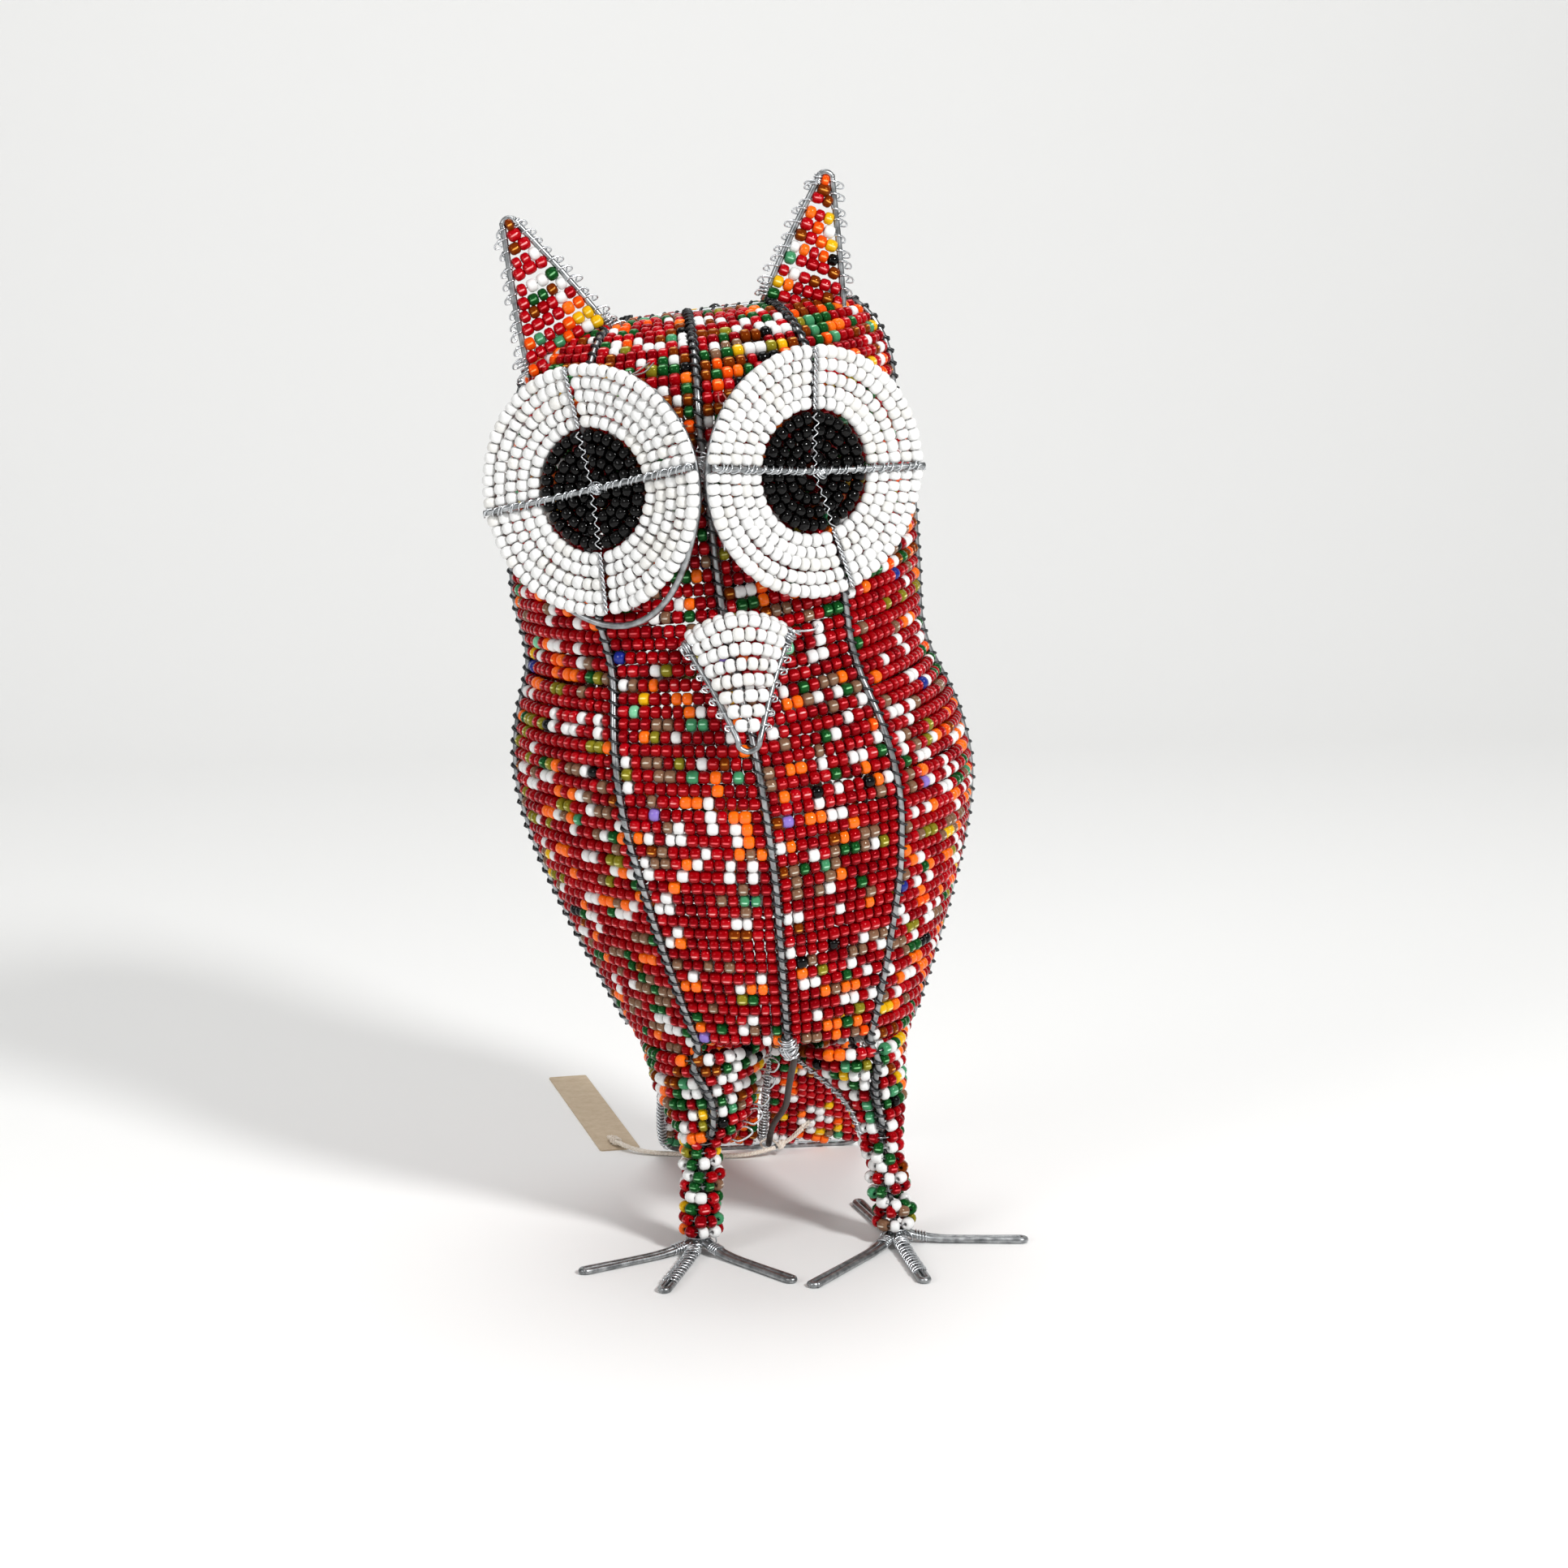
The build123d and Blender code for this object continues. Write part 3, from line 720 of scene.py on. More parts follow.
def thighs():
    for side in THIGHS:
        climb = 2.6 if side == "left" else 1.0
        for half in ("right_half", "left_half"):
            beads, wires = Mesh(), Mesh()
            colour = colours("leg")
            for i in range(THIGH_ROWS):
                level = 67.0 - i * ROW + rng.gauss(0, 0.25)
                front = thigh_rib_angle(side, True, level)
                back = thigh_rib_angle(side, False, level)
                first, last = (front, back) if half == "right_half" else (back, front + 360)
                line, outs = thigh_row(side, level, first, last, climb)
                string_row(beads, wires, line, outs, colour, ends=1.4)
            name = side + "_" + half
            finish_rows(beads, wires, "thigh_" + name, "thigh_beads_" + name)


def legs():
    for side in THIGHS:
        beads, wires = Mesh(), Mesh()
        colour = colours("leg")
        top, foot = LEG_HEAD[side], ANKLE[side]
        rows = 8
        for i in range(rows):
            share = (i + 0.5) / rows
            z = 5.5 + share * (34.5 - 5.5)
            middle = np.array([foot[0] + (top[0] - foot[0]) * share, 0.0, z])
            middle += np.array([rng.gauss(0, 0.35), rng.gauss(0, 0.35), 0])
            count, radius = 8, 5.1 + rng.uniform(-0.3, 0.3)
            tilt_x, tilt_y = rng.gauss(0, 0.12), rng.gauss(0, 0.12)
            phase = rng.uniform(0, 1)
            ring = []
            for k in range(count):
                a = 2 * math.pi * (k + phase + rng.gauss(0, 0.05)) / count
                out = np.array([math.cos(a), math.sin(a), 0])
                lift = radius * (tilt_x * out[0] + tilt_y * out[1])
                place = middle + out * radius + np.array([0, 0, lift])
                ring.append(place)
                add_bead(beads, place, np.cross([0, 0, 1], out), out, next(colour), 1.0, 1.05)
            wires.tube(smooth_line(ring + ring[:1], 3), STRING_WIRE_R, 5)
            for out in (-1, 1):
                wires.tube([middle + [0, out * 1.2, 0], middle + [0, out * radius, 0]], STRING_WIRE_R, 5)
        finish_rows(beads, wires, "leg_" + side, "leg_beads_" + side)


def toes():
    for side, foot_toes in TOES.items():
        x, y = ANKLE[side]
        wraps = Mesh()
        for name, (length, heading) in foot_toes.items():
            heavy, thin = Mesh(), Mesh()
            along, across = facing(heading)
            reach = length - RIB_R
            base = np.array([x, y, 0.0])
            way = [(1.5, 0.95, 4.2), (6.0, 1.0, 2.6), (14.0, 1.02, 1.3), (26.0, 1.04, 1.05)]
            tip = [(reach - 2.8, 1.25, 1.02), (reach - 0.8, 1.0, 1.02), (reach, 0.0, 1.02)]
            left = [base + along * o - across * w + [0, 0, z] for o, w, z in way + tip]
            right = [base + along * o + across * w + [0, 0, z] for o, w, z in (way + tip[:-1])[::-1]]
            line = smooth_line(left + right, 5)
            heavy.tube(line, RIB_R, 12)
            finish_piece(heavy, "toe_wire_" + side + "_" + name, [HEAVY],
                         ["toe_" + side + "_" + name])
            if name == "front":
                spine = [base + along * o + [0, 0, z + 0.25]
                         for o, z in ((5.0, 2.9), (15, 1.5), (reach - 6, 1.35))]
                for strand in range(2):
                    wind_flat(thin, smooth_line(spine, 8), across, 2.3, 1.02, 4.6, strand * 2.6)
                finish_piece(thin, "toe_winding_" + side, [BINDING])
        ring = [np.array([x + math.cos(a) * 3.4, y + math.sin(a) * 3.4, 2.6 + 0.13 * a])
                for a in np.linspace(0, 7 * math.pi, 90)]
        wraps.tube(np.array(ring), BINDING_R * 1.2, 6)
        for length, heading in foot_toes.values():
            along, across = facing(heading)
            root = [np.array([x, y, 0.0]) + along * o + [0, 0, z]
                    for o, z in ((6.2, 2.6), (8.0, 2.25), (9.8, 1.95))]
            wind_flat(wraps, smooth_line(root, 5), across, 2.35, 1.35, 0.95, 1.0)
        for heading in (20, 75, 130, 200, 260, 320):
            turn = math.radians(heading)
            out = np.array([math.cos(turn), math.sin(turn), 0])
            base = np.array([x, y, 0.0])
            loop = [base + out * 2.0 + [0, 0, 5.0], base + out * 5.0 + [0, 0, 3.9],
                    base + out * 5.8 + [0, 0, 1.8], base + out * 3.2 + [0, 0, 1.4]]
            wraps.tube(smooth_line(loop, 5), BINDING_R, 5)
        finish_piece(wraps, "ankle_binding_" + side, [BINDING], ["ankle_wrap_" + side])


def wind_flat(wires, line, across, half_wide, half_high, pitch, phase):
    """Thin wire wound round two wires that lie side by side."""
    line = resample(line, pitch / 10)
    out = []
    for i, p in enumerate(line):
        turn = phase + 2 * math.pi * i / 10
        out.append(p + across * half_wide * math.cos(turn) + np.array([0, 0, half_high * math.sin(turn)]))
    wires.tube(np.array(out), BINDING_R, 5)


# ---- eyes ----
def eye_frame(side):
    middle, heading = EYES[side]
    out, right = facing(heading)
    return np.array(middle), right, np.array([0.0, 0, 1]), out


def dish_point(side, radius, turn, lift=0.0):
    middle, right, up, out = eye_frame(side)
    rise = DISH * (radius / EYE_R - 1) + lift
    return middle + (right * math.cos(turn) + up * math.sin(turn)) * radius + out * rise


CROSS_ANGLES = {"left": (13.0, 102.0, 193.0, 280.0), "right": (1.0, 92.0, 176.0, 289.0)}


def eyes():
    for side in EYES:
        _, right, _, out = eye_frame(side)
        arms = sorted(math.radians(a) for a in CROSS_ANGLES[side])
        arms.append(arms[0] + 2 * math.pi)
        white, black, wires, heavy = Mesh(), Mesh(), Mesh(), Mesh()
        rows = 5
        step = (EYE_R - PUPIL_R) / rows
        rings = [(PUPIL_R + step * (i + 0.5), white, "white") for i in range(rows)]
        rings += [(PUPIL_R - 0.6 - 3.75 * (i + 0.5), black, "black") for i in range(4)]
        for radius, mesh, mix in rings:
            colour = colours(mix)
            for start, end in zip(arms, arms[1:]):
                turns = np.linspace(start, end, 17)
                wobble = rng.gauss(0, 0.25)
                line = np.array([dish_point(side, radius + wobble * math.sin(math.pi * i / 16), t, -BEAD_R)
                                 for i, t in enumerate(turns)])
                ends = 0.9 if mix == "white" else 0.5
                string_row(mesh, wires, line, np.tile(out, (17, 1)), colour, ends=ends)
        finish_piece(white, "beads_eye_white_" + side, BEAD_MATERIALS, ["eye_white_" + side])
        finish_piece(black, "beads_eye_pupil_" + side, BEAD_MATERIALS, ["eye_pupil_" + side])
        rim = []
        for t in np.linspace(0, 2 * math.pi, 73):
            off = abs((math.degrees(t) - 292 + 180) % 360 - 180) / 52
            loose = 5.6 * (0.5 + 0.5 * math.cos(math.pi * off)) if side == "left" and off < 1 else 0.0
            rim.append(dish_point(side, EYE_R - 1.6 + loose, t, -BEAD_R * 2 - 0.4))
        heavy.tube(np.array(rim), RIB_R, 10)
        across = [dish_point(side, r, arms[2], 0.1) for r in (EYE_R - 0.6, 27.0, 16.0, 6.0)]
        across += [dish_point(side, r, arms[0], 0.1) for r in (6.0, 16.0, 27.0, EYE_R - 0.6)]
        across = smooth_line(across, 6)
        heavy.tube(across, THIN_R, 10)
        for pitch in (2.9, 4.6):
            wind(wires, across, THIN_R, pitch, phase=rng.uniform(0, 6), ease=0.35)
        tangle(wires, dish_point(side, 2.0, arms[0], 0.4), 1.9, 5)
        for t in (arms[1], arms[3]):
            arm = smooth_line([dish_point(side, r, t, -0.5) for r in (EYE_R - 0.6, 29.0, 23.0, PUPIL_R)], 5)
            for phase in (0.0, math.pi):
                wind(wires, arm, 0.12, 3.3, phase=phase, ease=0.6)
        finish_piece(heavy, "eye_wires_" + side, [HEAVY],
                     ["eye_rim_wire_" + side, "eye_cross_" + side])
        for t in (35, 70, 110, 145, 215, 250, 290, 325):
            tie(wires, dish_point(side, EYE_R - 1.6, math.radians(t), -BEAD_R * 2 - 0.4))
        for t, reach in ((arms[1], 17.0), (arms[3], 17.0)):
            zigzag = []
            for i in range(12):
                r = 1.0 + (reach - 1.0) * i / 11
                way = right * (1.2 if i % 2 else -1.2)
                zigzag.append(dish_point(side, r, t, 0.2) + way * rng.uniform(0.3, 1))
            wires.tube(smooth_line(zigzag, 3), BINDING_R * 0.8, 5)
        finish_piece(wires, "eye_stringing_" + side, [BINDING])


# ---- loose work in thin wire ----
def coil(wires, start, end, radius, turns, wire_r=BINDING_R):
    """Close turns of thin wire about the line from start to end."""
    start, end = np.asarray(start, float), np.asarray(end, float)
    axis = unit(end - start)
    side = unit(np.cross(axis, [0.3, 0.5, 0.8]))
    other = np.cross(axis, side)
    line = []
    for i in range(int(turns * 12) + 1):
        turn = 2 * math.pi * i / 12
        r = radius * (1 + 0.07 * math.sin(turn * 0.37 + turns))
        line.append(start + (end - start) * i / (turns * 12)
                    + (side * math.cos(turn) + other * math.sin(turn)) * r)
    wires.tube(np.array(line), wire_r, 6)


def tangle(wires, middle, reach, count, wire_r=BINDING_R):
    """Turns of thin wire thrown round one place at all angles."""
    for _ in range(count):
        axis = unit([rng.gauss(0, 1), rng.gauss(0, 0.6), rng.gauss(0, 1)])
        along = axis * rng.uniform(0.3, 0.8) * reach
        centre = np.asarray(middle) + np.array([rng.uniform(-1, 1) for _ in range(3)]) * reach * 0.25
        coil(wires, centre - along / 2, centre + along / 2, reach * rng.uniform(0.5, 0.95),
             rng.uniform(1.2, 2.3), wire_r)


def tie(wires, start):
    """Two strands of thin wire from a piece that stands in front of the body back into the beads."""
    section = body_section(start[2])
    angle = math.degrees(math.atan2((start[0] - section[1]) / section[3],
                                    (section[2] - start[1]) / section[4]))
    end = on_section(section, angle, 2.5)
    if np.linalg.norm(end - start) > 20:
        return
    for way in (-0.5, 0.5):
        middle = (start + end) / 2 + np.array([way * 2.4, 0, -0.9])
        wires.tube(smooth_line([start + [way, 0, 0], middle, end + [way, 0, 0]], 5), BINDING_R, 5)
    coil(wires, start - [1.1, 0, 0], start + [1.1, 0, 0], THIN_R + 0.5, 2.5)


def curls(wires, ends, out, front, reach):
    """Thin wire along an edge: over the edge at each row's end, out in a loop, and on to the next."""
    line, over = [], THIN_R + 0.4
    for i, end in enumerate(ends):
        along = unit(ends[min(i + 1, len(ends) - 1)] - ends[max(i - 1, 0)])
        r = reach * rng.uniform(0.7, 1.2)
        line += [end - out * 0.9 + front * 0.5, end + front * over, end + out * r + along * 0.4 + front * 0.4,
                 end + out * (r + 0.3) + along * 1.7, end + out * r * 0.4 + along * 1.9 - front * 0.5,
                 end + out * r * 0.8 + along * 0.2 - front * 0.7, end + out * 0.3 - front * over]
    wires.tube(smooth_line(line, 4), BINDING_R, 5)


# ---- ears ----
EAR_SLOPE = {"left": 28.0, "right": -19.0}


def ears():
    front = np.array([0.0, -1.0, 0.0])
    for side, feet in EARS.items():
        outer, inner, tip = (np.array([x, 0.0, z]) for x, z in feet)
        up = unit(tip - (outer + inner) / 2)
        across = np.array([up[2], 0.0, -up[0]])
        across = across if across.dot(inner - outer) > 0 else -across
        heavy, thin, beads, stringing = Mesh(), Mesh(), Mesh(), Mesh()
        centre = tip - up * 2.1
        bow = [centre + (-across * math.cos(a) + up * math.sin(a)) * 2.1 for a in np.linspace(0, math.pi, 9)]
        rise = [outer - up * 3.0, outer * 0.5 + bow[0] * 0.5]
        fall = [inner * 0.5 + bow[-1] * 0.5, inner - up * 3.0]
        heavy.tube(smooth_line(rise + bow + fall, 4), THIN_R * 1.1, 12)
        turn = math.radians(EAR_SLOPE[side])
        normal = np.array([-math.sin(turn), 0, math.cos(turn)])
        a, a_tip, b, b_tip = outer, bow[0], inner, bow[-1]
        low = min(normal.dot(a), normal.dot(b)) - 2.0
        high = normal.dot(tip) - 1.2
        edges = [[], []]
        colour = colours("ear")
        for i in range(int((high - low) / 3.75) + 1):
            c = high - i * 3.75
            s = (c - normal.dot(a)) / normal.dot(a_tip - a)
            t = (c - normal.dot(b)) / normal.dot(b_tip - b)
            if min(s, t) < -0.16 or max(s, t) > 1.05:
                continue
            one, two = a + (a_tip - a) * min(s, 1), b + (b_tip - b) * min(t, 1)
            sag = up * rng.gauss(0, 0.3)
            line = smooth_line([one, one * 0.67 + two * 0.33 + sag, one * 0.33 + two * 0.67 + sag, two], 4)
            string_row(beads, stringing, line, np.tile(front, (len(line), 1)), colour, ends=1.0, size=0.97)
            edges[0].append(one)
            edges[1].append(two)
        for ends, way in ((edges[0], -1), (edges[1], 1)):
            ends = [p + up * rng.gauss(0, 0.5) for p in sorted(ends, key=lambda p: -p[2])]
            curls(thin, ends, across * way, front, 2.5)
        for foot in (outer, inner):
            coil(thin, foot - up * 1.5, foot + up * 2.4, THIN_R + 0.6, 3.5)
        coil(thin, bow[-1] - up * 1.5, bow[-1] + up * 1.0, THIN_R + 0.4, 3)
        finish_piece(heavy, "ear_wire_" + side, [HEAVY], ["ear_frame_" + side])
        finish_piece(thin, "ear_winding_" + side, [BINDING])
        finish_rows(beads, stringing, "ear_" + side, "ear_beads_" + side)


# ---- beak ----
BEAK_ROWS = (0.0, 0.10, 0.21, 0.33, 0.46, 0.60, 0.74, 0.88)


def beak():
    left, right, tip = (np.array(BEAK[k]) for k in ("left", "right", "tip"))
    side = np.array([3.5, 0.0, 0.0])
    heavy, thin, beads, stringing = Mesh(), Mesh(), Mesh(), Mesh()
    ends = [tip - side, tip + side]
    frame_line = [left, left * 0.5 + ends[0] * 0.5 + [0.6, 0, 0], ends[0], tip + [-2.7, 0, -3.0],
                  tip + [0, 0, -4.4], tip + [2.7, 0, -3.0], ends[1],
                  right * 0.5 + ends[1] * 0.5 - [0.6, 0, 0], right]
    heavy.tube(smooth_line(frame_line, 5), THIN_R, 12)
    colour = colours("white")
    edges = [[], []]
    for k, s in enumerate((-0.02,) + BEAK_ROWS):
        one, two = left * (1 - s) + ends[0] * s, right * (1 - s) + ends[1] * s
        behind = 3.4 if k == 0 else 0.0
        line = []
        for u in np.linspace(0, 1, 11):
            bow = 4 * u * (1 - u)
            room = 1 - max(s, 0)
            swell = np.array([0, -(5.5 * room + 1.2) * bow + behind, 6.6 * room ** 2 * bow])
            line.append(one * (1 - u) + two * u + swell)
        string_row(beads, stringing, np.array(line), np.tile([0, -1.0, 0.25], (11, 1)), colour, ends=1.7)
        if k:
            edges[0].append(one)
            edges[1].append(two)
    front = np.array([0.0, -1.0, 0.0])
    for points, way in ((edges[0], -1), (edges[1], 1)):
        curls(thin, points, np.array([way, 0.0, 0.0]), front, 1.8)
    for radius, turns in ((1.7, 3.5), (2.2, 2.5)):
        coil(thin, left + [2.4, -1.2, 0.2], left + [-1.6, -1.2, -1.6], radius, turns)
        coil(thin, right + [-1.6, -1.2, -1.6], right + [1.6, -1.4, 2.2], radius, turns)
    for corner in (left, right):
        tie(thin, corner)
    end = [right + [1.0, -1.6, 1.6], right + [4.4, -2.0, 1.6], right + [7.2, -1.8, 2.0],
           right + [8.4, -1.8, 3.4]]
    thin.tube(smooth_line(end, 5), BINDING_R * 1.3, 6)
    finish_piece(heavy, "beak_wire", [HEAVY], ["beak_frame"])
    finish_piece(thin, "beak_winding", [BINDING])
    finish_rows(beads, stringing, "beak", "beak_beads")


# ---- tail, brace and lashings ----
def tail_point(across, share):
    half = TAIL_HALF_TOP + (TAIL_HALF - TAIL_HALF_TOP) * share
    return np.array([TAIL_HEAD[0] + (TAIL_FOOT[0] - TAIL_HEAD[0]) * share + across * half,
                     TAIL_HEAD[1] + (TAIL_FOOT[1] - TAIL_HEAD[1]) * share,
                     TAIL_HEAD[2] + (RIB_R - TAIL_HEAD[2]) * share])


TAIL_SLOPE = 0.13            # how much further down a half row ends than it starts


def tail():
    heavy, thin = Mesh(), Mesh()
    loop = [tail_point(-1, 0.0), tail_point(-1, 0.3) - [0.8, 0, 0], tail_point(-1, 0.62) - [1.2, 0, 0],
            tail_point(-1, 0.88), tail_point(-0.94, 0.965), tail_point(-0.8, 1), tail_point(-0.3, 1),
            tail_point(0.3, 1), tail_point(0.8, 1), tail_point(0.94, 0.965), tail_point(1, 0.88),
            tail_point(1, 0.62) + [1.2, 0, 0], tail_point(1, 0.3) + [0.8, 0, 0], tail_point(1, 0.0)]
    edge = smooth_line(loop, 6)
    edge[:, 2] = np.maximum(edge[:, 2], RIB_R)
    heavy.tube(edge, RIB_R, 12)
    finish_piece(heavy, "tail_wire", [HEAVY], ["tail_frame"])
    spine = smooth_line([tail_point(0, 0.0), tail_point(0, 0.5) + [0.8, 0.4, 0.4], tail_point(0, 0.955)], 12)
    rib = Mesh()
    rib.tube(spine, RIB_R, 12)
    finish_piece(rib, "tail_rib_wire", [HEAVY], ["tail_rib"])
    wind(thin, edge[8:26], RIB_R + 0.25, 1.75, 0.34, 6, ease=0.4)
    wind(thin, edge[56:], RIB_R, 2.6, 0.3, phase=1.0, ease=0.3)
    wind(thin, spine, RIB_R + 0.1, 1.6, 0.3, phase=2.0, ease=0.3)
    tangle(thin, tail_point(0, 0.955) + [0, 0, 0.6], 2.4, 9)
    finish_piece(thin, "tail_winding", [BINDING])
    down = unit(tail_point(0, 1) - tail_point(0, 0))
    out = np.cross([1.0, 0, 0], down)
    for name, first, last in (("left", -1.0, -0.03), ("right", 0.03, 1.0)):
        beads, wires = Mesh(), Mesh()
        colour = colours("tail")
        share = -0.11
        while share < 0.972:
            line = []
            for u in np.linspace(0, 1, 25):
                at = share + TAIL_SLOPE * u + 0.004 * math.sin(math.pi * u)
                if 0.02 < at < 0.976:
                    line.append(tail_point(first + (last - first) * u, at))
            if len(line) > 5:
                string_row(beads, wires, np.array(line), np.tile(out, (len(line), 1)), colour, ends=1.2)
            share += 0.0415 * rng.uniform(0.97, 1.03)
        finish_rows(beads, wires, "tail_" + name, "tail_beads_" + name)


def brace():
    heavy = Mesh()
    route = [(-3.4, -20.0, 68.0), (-3.0, -14.0, 65.0), (-1.5, 2.0, 58.0), (1.0, 30.0, 44.0), (4.0, 62.0, 28.0),
             (3.2, 88.0, 14.0), (3.4, 101.0, 3.6)]
    heavy.tube(smooth_line(route, 6), RIB_R * 1.08, 12)
    # painted shade: the brace wire gets the darkened copy of the galvanised wire
    finish_piece(heavy, "brace_wire", [SHADED_WIRE], ["tail_brace"])


def lashings():
    crotch, bridge = Mesh(), Mesh()
    foot = np.array([-5.5, -23.0, 62.4])
    head = on_section(body_section(76.0), 0.0)
    coil(crotch, foot * 0.55 + head * 0.45, head, 1.8, 4.5, 0.33)
    coil(crotch, foot * 0.35 + head * 0.65, head, 2.6, 2.5, 0.33)
    tangle(crotch, foot * 0.3 + head * 0.7, 3.2, 3, 0.3)
    finish_piece(crotch, "crotch_binding", [BINDING], ["crotch_lashing"])
    middle = np.array([-35.0, -50.2, 249.0])
    tangle(bridge, middle, 3.6, 9, 0.3)
    coil(bridge, middle - [0.6, 0, 4.5], middle + [0.4, 0, 4.5], 1.8, 4, 0.3)
    finish_piece(bridge, "eye_bridge_binding", [BINDING], ["eye_bridge_lashing"])


def thigh_edges():
    """Open loops at the ends of the left thigh's rows, and a bound wire down the right thigh's edge."""
    loops, heavy, thin = Mesh(), Mesh(), Mesh()
    for level in spread(62.0, 40.0, 5):
        ends = [on_section(thigh_section("left", v), 62.0, 0.6) for v in (level, level - 3.0)]
        out = np.array([0.88, -0.47, 0.0])
        reach = rng.uniform(3.4, 5.0)
        droop = np.array([0, 0, rng.uniform(0.4, 1.4)])
        loop = [ends[0] - out * 2.0, ends[0] + out * reach * 0.5 + droop, ends[0] + out * reach - [0, 0, 0.6],
                ends[1] + out * reach * 0.8 - droop * 0.3, ends[1] + out * 0.5, ends[1] - out * 2.5]
        loops.tube(smooth_line(loop, 5), 0.36, 6)
    finish_piece(loops, "thigh_loops_left", [BINDING])
    line = [np.array([-4.5, -23.5, 68.5])]
    line += [on_section(thigh_section("right", v), -56.0, -0.5) for v in spread(64.0, 37.0, 7)]
    line = smooth_line(line, 6)
    heavy.tube(line, 0.6, 8)
    for pitch in (2.6, 3.7):
        wind(thin, line, 0.6, pitch, phase=rng.uniform(0, 6), ease=0.5)
    finish_piece(heavy, "thigh_edge_wire_right", [HEAVY])
    finish_piece(thin, "thigh_edge_winding_right", [BINDING])


# ---- swing tag ----
def route_line():
    """Points along the string's smooth curve, in design millimetres."""
    data = bpy.data.curves.new("string_route", "CURVE")
    data.dimensions = "3D"
    data.resolution_u = 12
    spline = data.splines.new("NURBS")
    spline.points.add(len(STRING_ROUTE) - 1)
    for point, place in zip(spline.points, STRING_ROUTE):
        point.co = tuple((np.array(place) + FOOT_SHIFT) * MM) + (1.0,)
    spline.order_u = 3
    spline.use_endpoint_u = True
    route = bpy.data.objects.new("string_route", data)
    bpy.context.scene.collection.objects.link(route)
    bpy.context.view_layer.update()
    mesh = bpy.data.meshes.new_from_object(route)
    points = np.array([list(v.co) for v in mesh.vertices]) / MM - FOOT_SHIFT
    bpy.data.objects.remove(route)
    bpy.data.meshes.remove(mesh)
    return points


def plied(mesh, line, strand_r, phase=0.0):
    """One cotton strand: three plies twisted together along the line."""
    line = resample(np.asarray(line, float), 0.40)
    tangents = headings(line)
    for ply in range(3):
        points = []
        for i, (p, t) in enumerate(zip(line, tangents)):
            side = unit(np.cross(t, [0, 0, 1.0]))
            turn = phase + 2 * math.pi * (ply / 3 + i * 0.40 / 3.6)
            points.append(p + (side * math.cos(turn) + np.cross(side, t) * math.sin(turn)) * strand_r * 0.46)
        mesh.tube(np.array(points), strand_r * 0.54, 6)


def cotton_material():
    material, tree, shader = new_material("cotton")
    noise = textured(tree, 1500.0, 4.0)
    mottled(tree, shader, noise.outputs["Fac"], 0.3, (0.66, 0.57, 0.46), 0.7, (0.90, 0.84, 0.75))
    shader.inputs["Roughness"].default_value = 0.9
    shader.inputs["Sheen Weight"].default_value = 0.3
    bumped(tree, shader, noise.outputs["Fac"], 0.5, 0.0003)
    return material


def card_material():
    """Pale brown card with short fibres in it."""
    material, tree, shader = new_material("tag_card_stock")
    fibres = textured(tree, 260.0, 8.0)
    fibres.inputs["Roughness"].default_value = 0.75
    mottled(tree, shader, fibres.outputs["Fac"], 0.30, (0.47, 0.36, 0.24), 0.70, (0.60, 0.49, 0.35))
    shader.inputs["Roughness"].default_value = 0.8
    bumped(tree, shader, fibres.outputs["Fac"], 0.06, 0.0001)
    return material


def swing_tag():
    cotton = cotton_material()
    path = route_line()
    string, knot = Mesh(), Mesh()
    line = resample(path, 0.5)
    tangents = np.gradient(line, axis=0)
    strands = []
    for way in (1, -1):
        points = []
        for i, (p, t) in enumerate(zip(line, tangents)):
            side = unit(np.cross(t, [0, 0, 1.0]))
            turn = 0.15 * math.sin(i * 0.055) + 0.1
            off = (side * math.cos(turn) + np.array([0, 0, 1.0]) * math.sin(turn)) * way * STRAND_OFF
            points.append(p + off)
        strands.append(np.array(points))
    for k, points in enumerate(strands):
        plied(string, points, STRAND_R, k * 1.3)
    for at in (10, 13, 16):
        turns = np.linspace(0, 2 * math.pi, 14)
        plied(knot, line[at] + np.array([[math.cos(a) * 1.35, 0.4 * math.sin(a), math.sin(a) * 0.95 + 0.1]
                                         for a in turns]), 0.5, at)
    cord = finish_piece(string, "cotton_string", [cotton], ["tag_string"])
    end = path[-1]
    centre = end + [2.2, 0, 1.0]
    for tilt, size in ((0.0, 1.15), (1.1, 1.3), (2.0, 1.1)):
        ring = []
        for a in np.linspace(0, 2 * math.pi, 14):
            ring.append(centre + np.array([math.cos(tilt) * math.cos(a), 0.8 * math.sin(a),
                                           math.sin(tilt) * math.cos(a) + 0.3 * math.sin(a)]) * size)
        plied(knot, ring, 0.60, tilt)
    for bend, reach in ((0.8, 1.0), (-1.2, 0.86)):
        tuft = [centre, centre + np.array([4.0, bend, 2.4]) * reach,
                centre + np.array([8.4, bend * 1.6, 6.6]) * reach]
        line = smooth_line(tuft, 8)
        plied(knot, line, 0.62, bend)
        for _ in range(14):
            spray = np.array([rng.gauss(1.7, 0.5), rng.gauss(0, 0.55), rng.gauss(1.3, 0.6)])
            back = line[-4]
            knot.tube(smooth_line([back, line[-1] + spray * 0.3, line[-1] + spray], 3), 0.09, 4)
    round_brace = [centre - [1.0, 0, 0], centre + [-3.0, 2.6, 1.0], centre + [-4.4, 6.0, 0.4],
                   centre + [-6.4, 5.4, -0.7], centre + [-5.4, 2.6, -1.9], centre + [-2.4, 0.4, -1.3]]
    plied(knot, smooth_line(round_brace, 8), 0.40, 0.5)
    tied = finish_piece(knot, "string_knot", [cotton], ["tag_knot"])
    card = bpy.data.objects["tag_card"]
    stock = card_material()
    card.data.materials.clear()
    card.data.materials.append(stock)
    [tuple(p) for p in (path + FOOT_SHIFT) * MM]


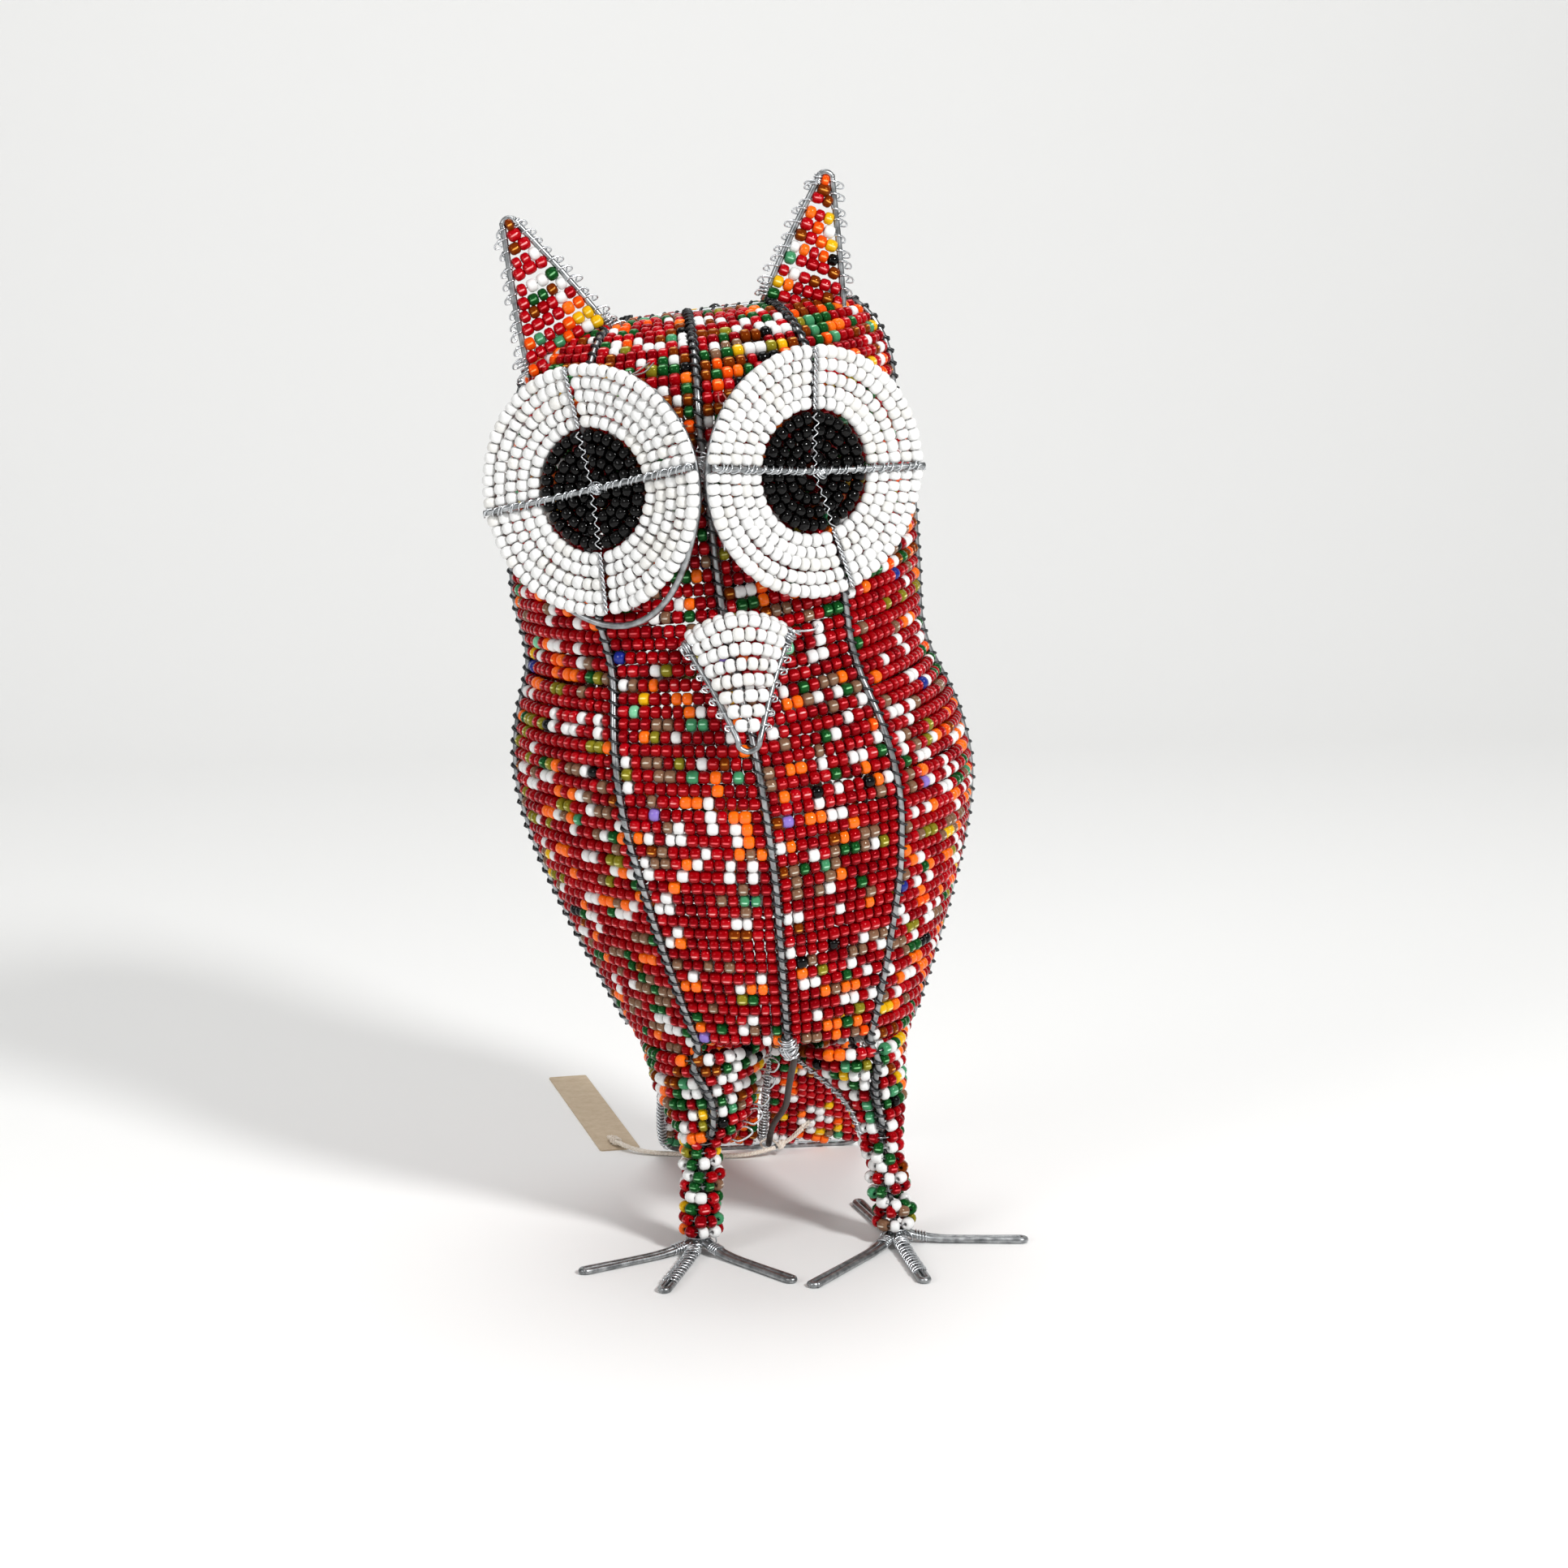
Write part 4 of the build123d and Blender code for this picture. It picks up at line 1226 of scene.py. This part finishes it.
# ---- camera, light and floor ----
def camera():
    data = bpy.data.cameras.new("camera")
    data.lens = 75.0
    data.sensor_width = 36.0
    data.clip_start = 0.05
    ob = bpy.data.objects.new("camera", data)
    bpy.context.scene.collection.objects.link(ob)
    ob.location = (np.array([-133.1, -976.3, 325.0]) + FOOT_SHIFT) * MM
    ob.rotation_euler = (math.radians(90 - 10.2), 0.0, math.radians(-7.5))
    bpy.context.scene.camera = ob


def area_light(name, place, target, size, power):
    data = bpy.data.lights.new(name, "AREA")
    data.shape = "DISK"
    data.size = size
    data.energy = power
    ob = bpy.data.objects.new(name, data)
    bpy.context.scene.collection.objects.link(ob)
    ob.location = place
    direction = np.array(target) - np.array(place)
    yaw = math.atan2(direction[1], direction[0])
    flat = math.hypot(direction[0], direction[1])
    ob.rotation_euler = (math.atan2(flat, -direction[2]), 0.0, yaw - math.pi / 2)


def studio():
    material, tree, shader = new_material("studio_floor")
    shader.inputs["Base Color"].default_value = (0.88, 0.88, 0.87, 1)
    shader.inputs["Roughness"].default_value = 0.75
    noise = textured(tree, 40.0)
    bumped(tree, shader, noise.outputs["Fac"], 0.02, 0.001)
    mesh = Mesh()
    profile = [(-3.0, 0.0), (0.9, 0.0)]
    profile += [(0.9 + 0.5 * math.sin(a), 0.5 - 0.5 * math.cos(a)) for a in np.linspace(0.1, math.pi / 2, 12)]
    profile += [(1.4, 3.0)]
    verts = [(x * 1000, y * 1000, z * 1000) for y, z in profile for x in (-3.0, 3.0)]
    faces = [(2 * i, 2 * i + 1, 2 * i + 3, 2 * i + 2) for i in range(len(profile) - 1)]
    mesh.add(np.array(verts) - FOOT_SHIFT, faces)
    floor = mesh.build("studio_floor", [material])
    area_light("key", (0.75, -1.25, 1.15), (0, 0, 0.15), 0.30, 24)
    area_light("fill", (-1.2, -1.0, 0.8), (0, 0, 0.15), 0.7, 7)
    area_light("top", (0.0, 0.2, 1.7), (0, 0, 0.1), 0.9, 9)
    world = bpy.data.worlds.new("studio")
    world.use_nodes = True
    world.node_tree.nodes["Background"].inputs["Color"].default_value = (1.0, 1.0, 1.0, 1)
    world.node_tree.nodes["Background"].inputs["Strength"].default_value = 0.34
    bpy.context.scene.world = world
    bpy.context.scene.view_settings.view_transform = "Standard"


camera()
studio()
swing_tag()
bead_panels()
ribs()
crown_ridge()
thighs()
legs()
toes()
eyes()
ears()
beak()
tail()
brace()
lashings()
thigh_edges()
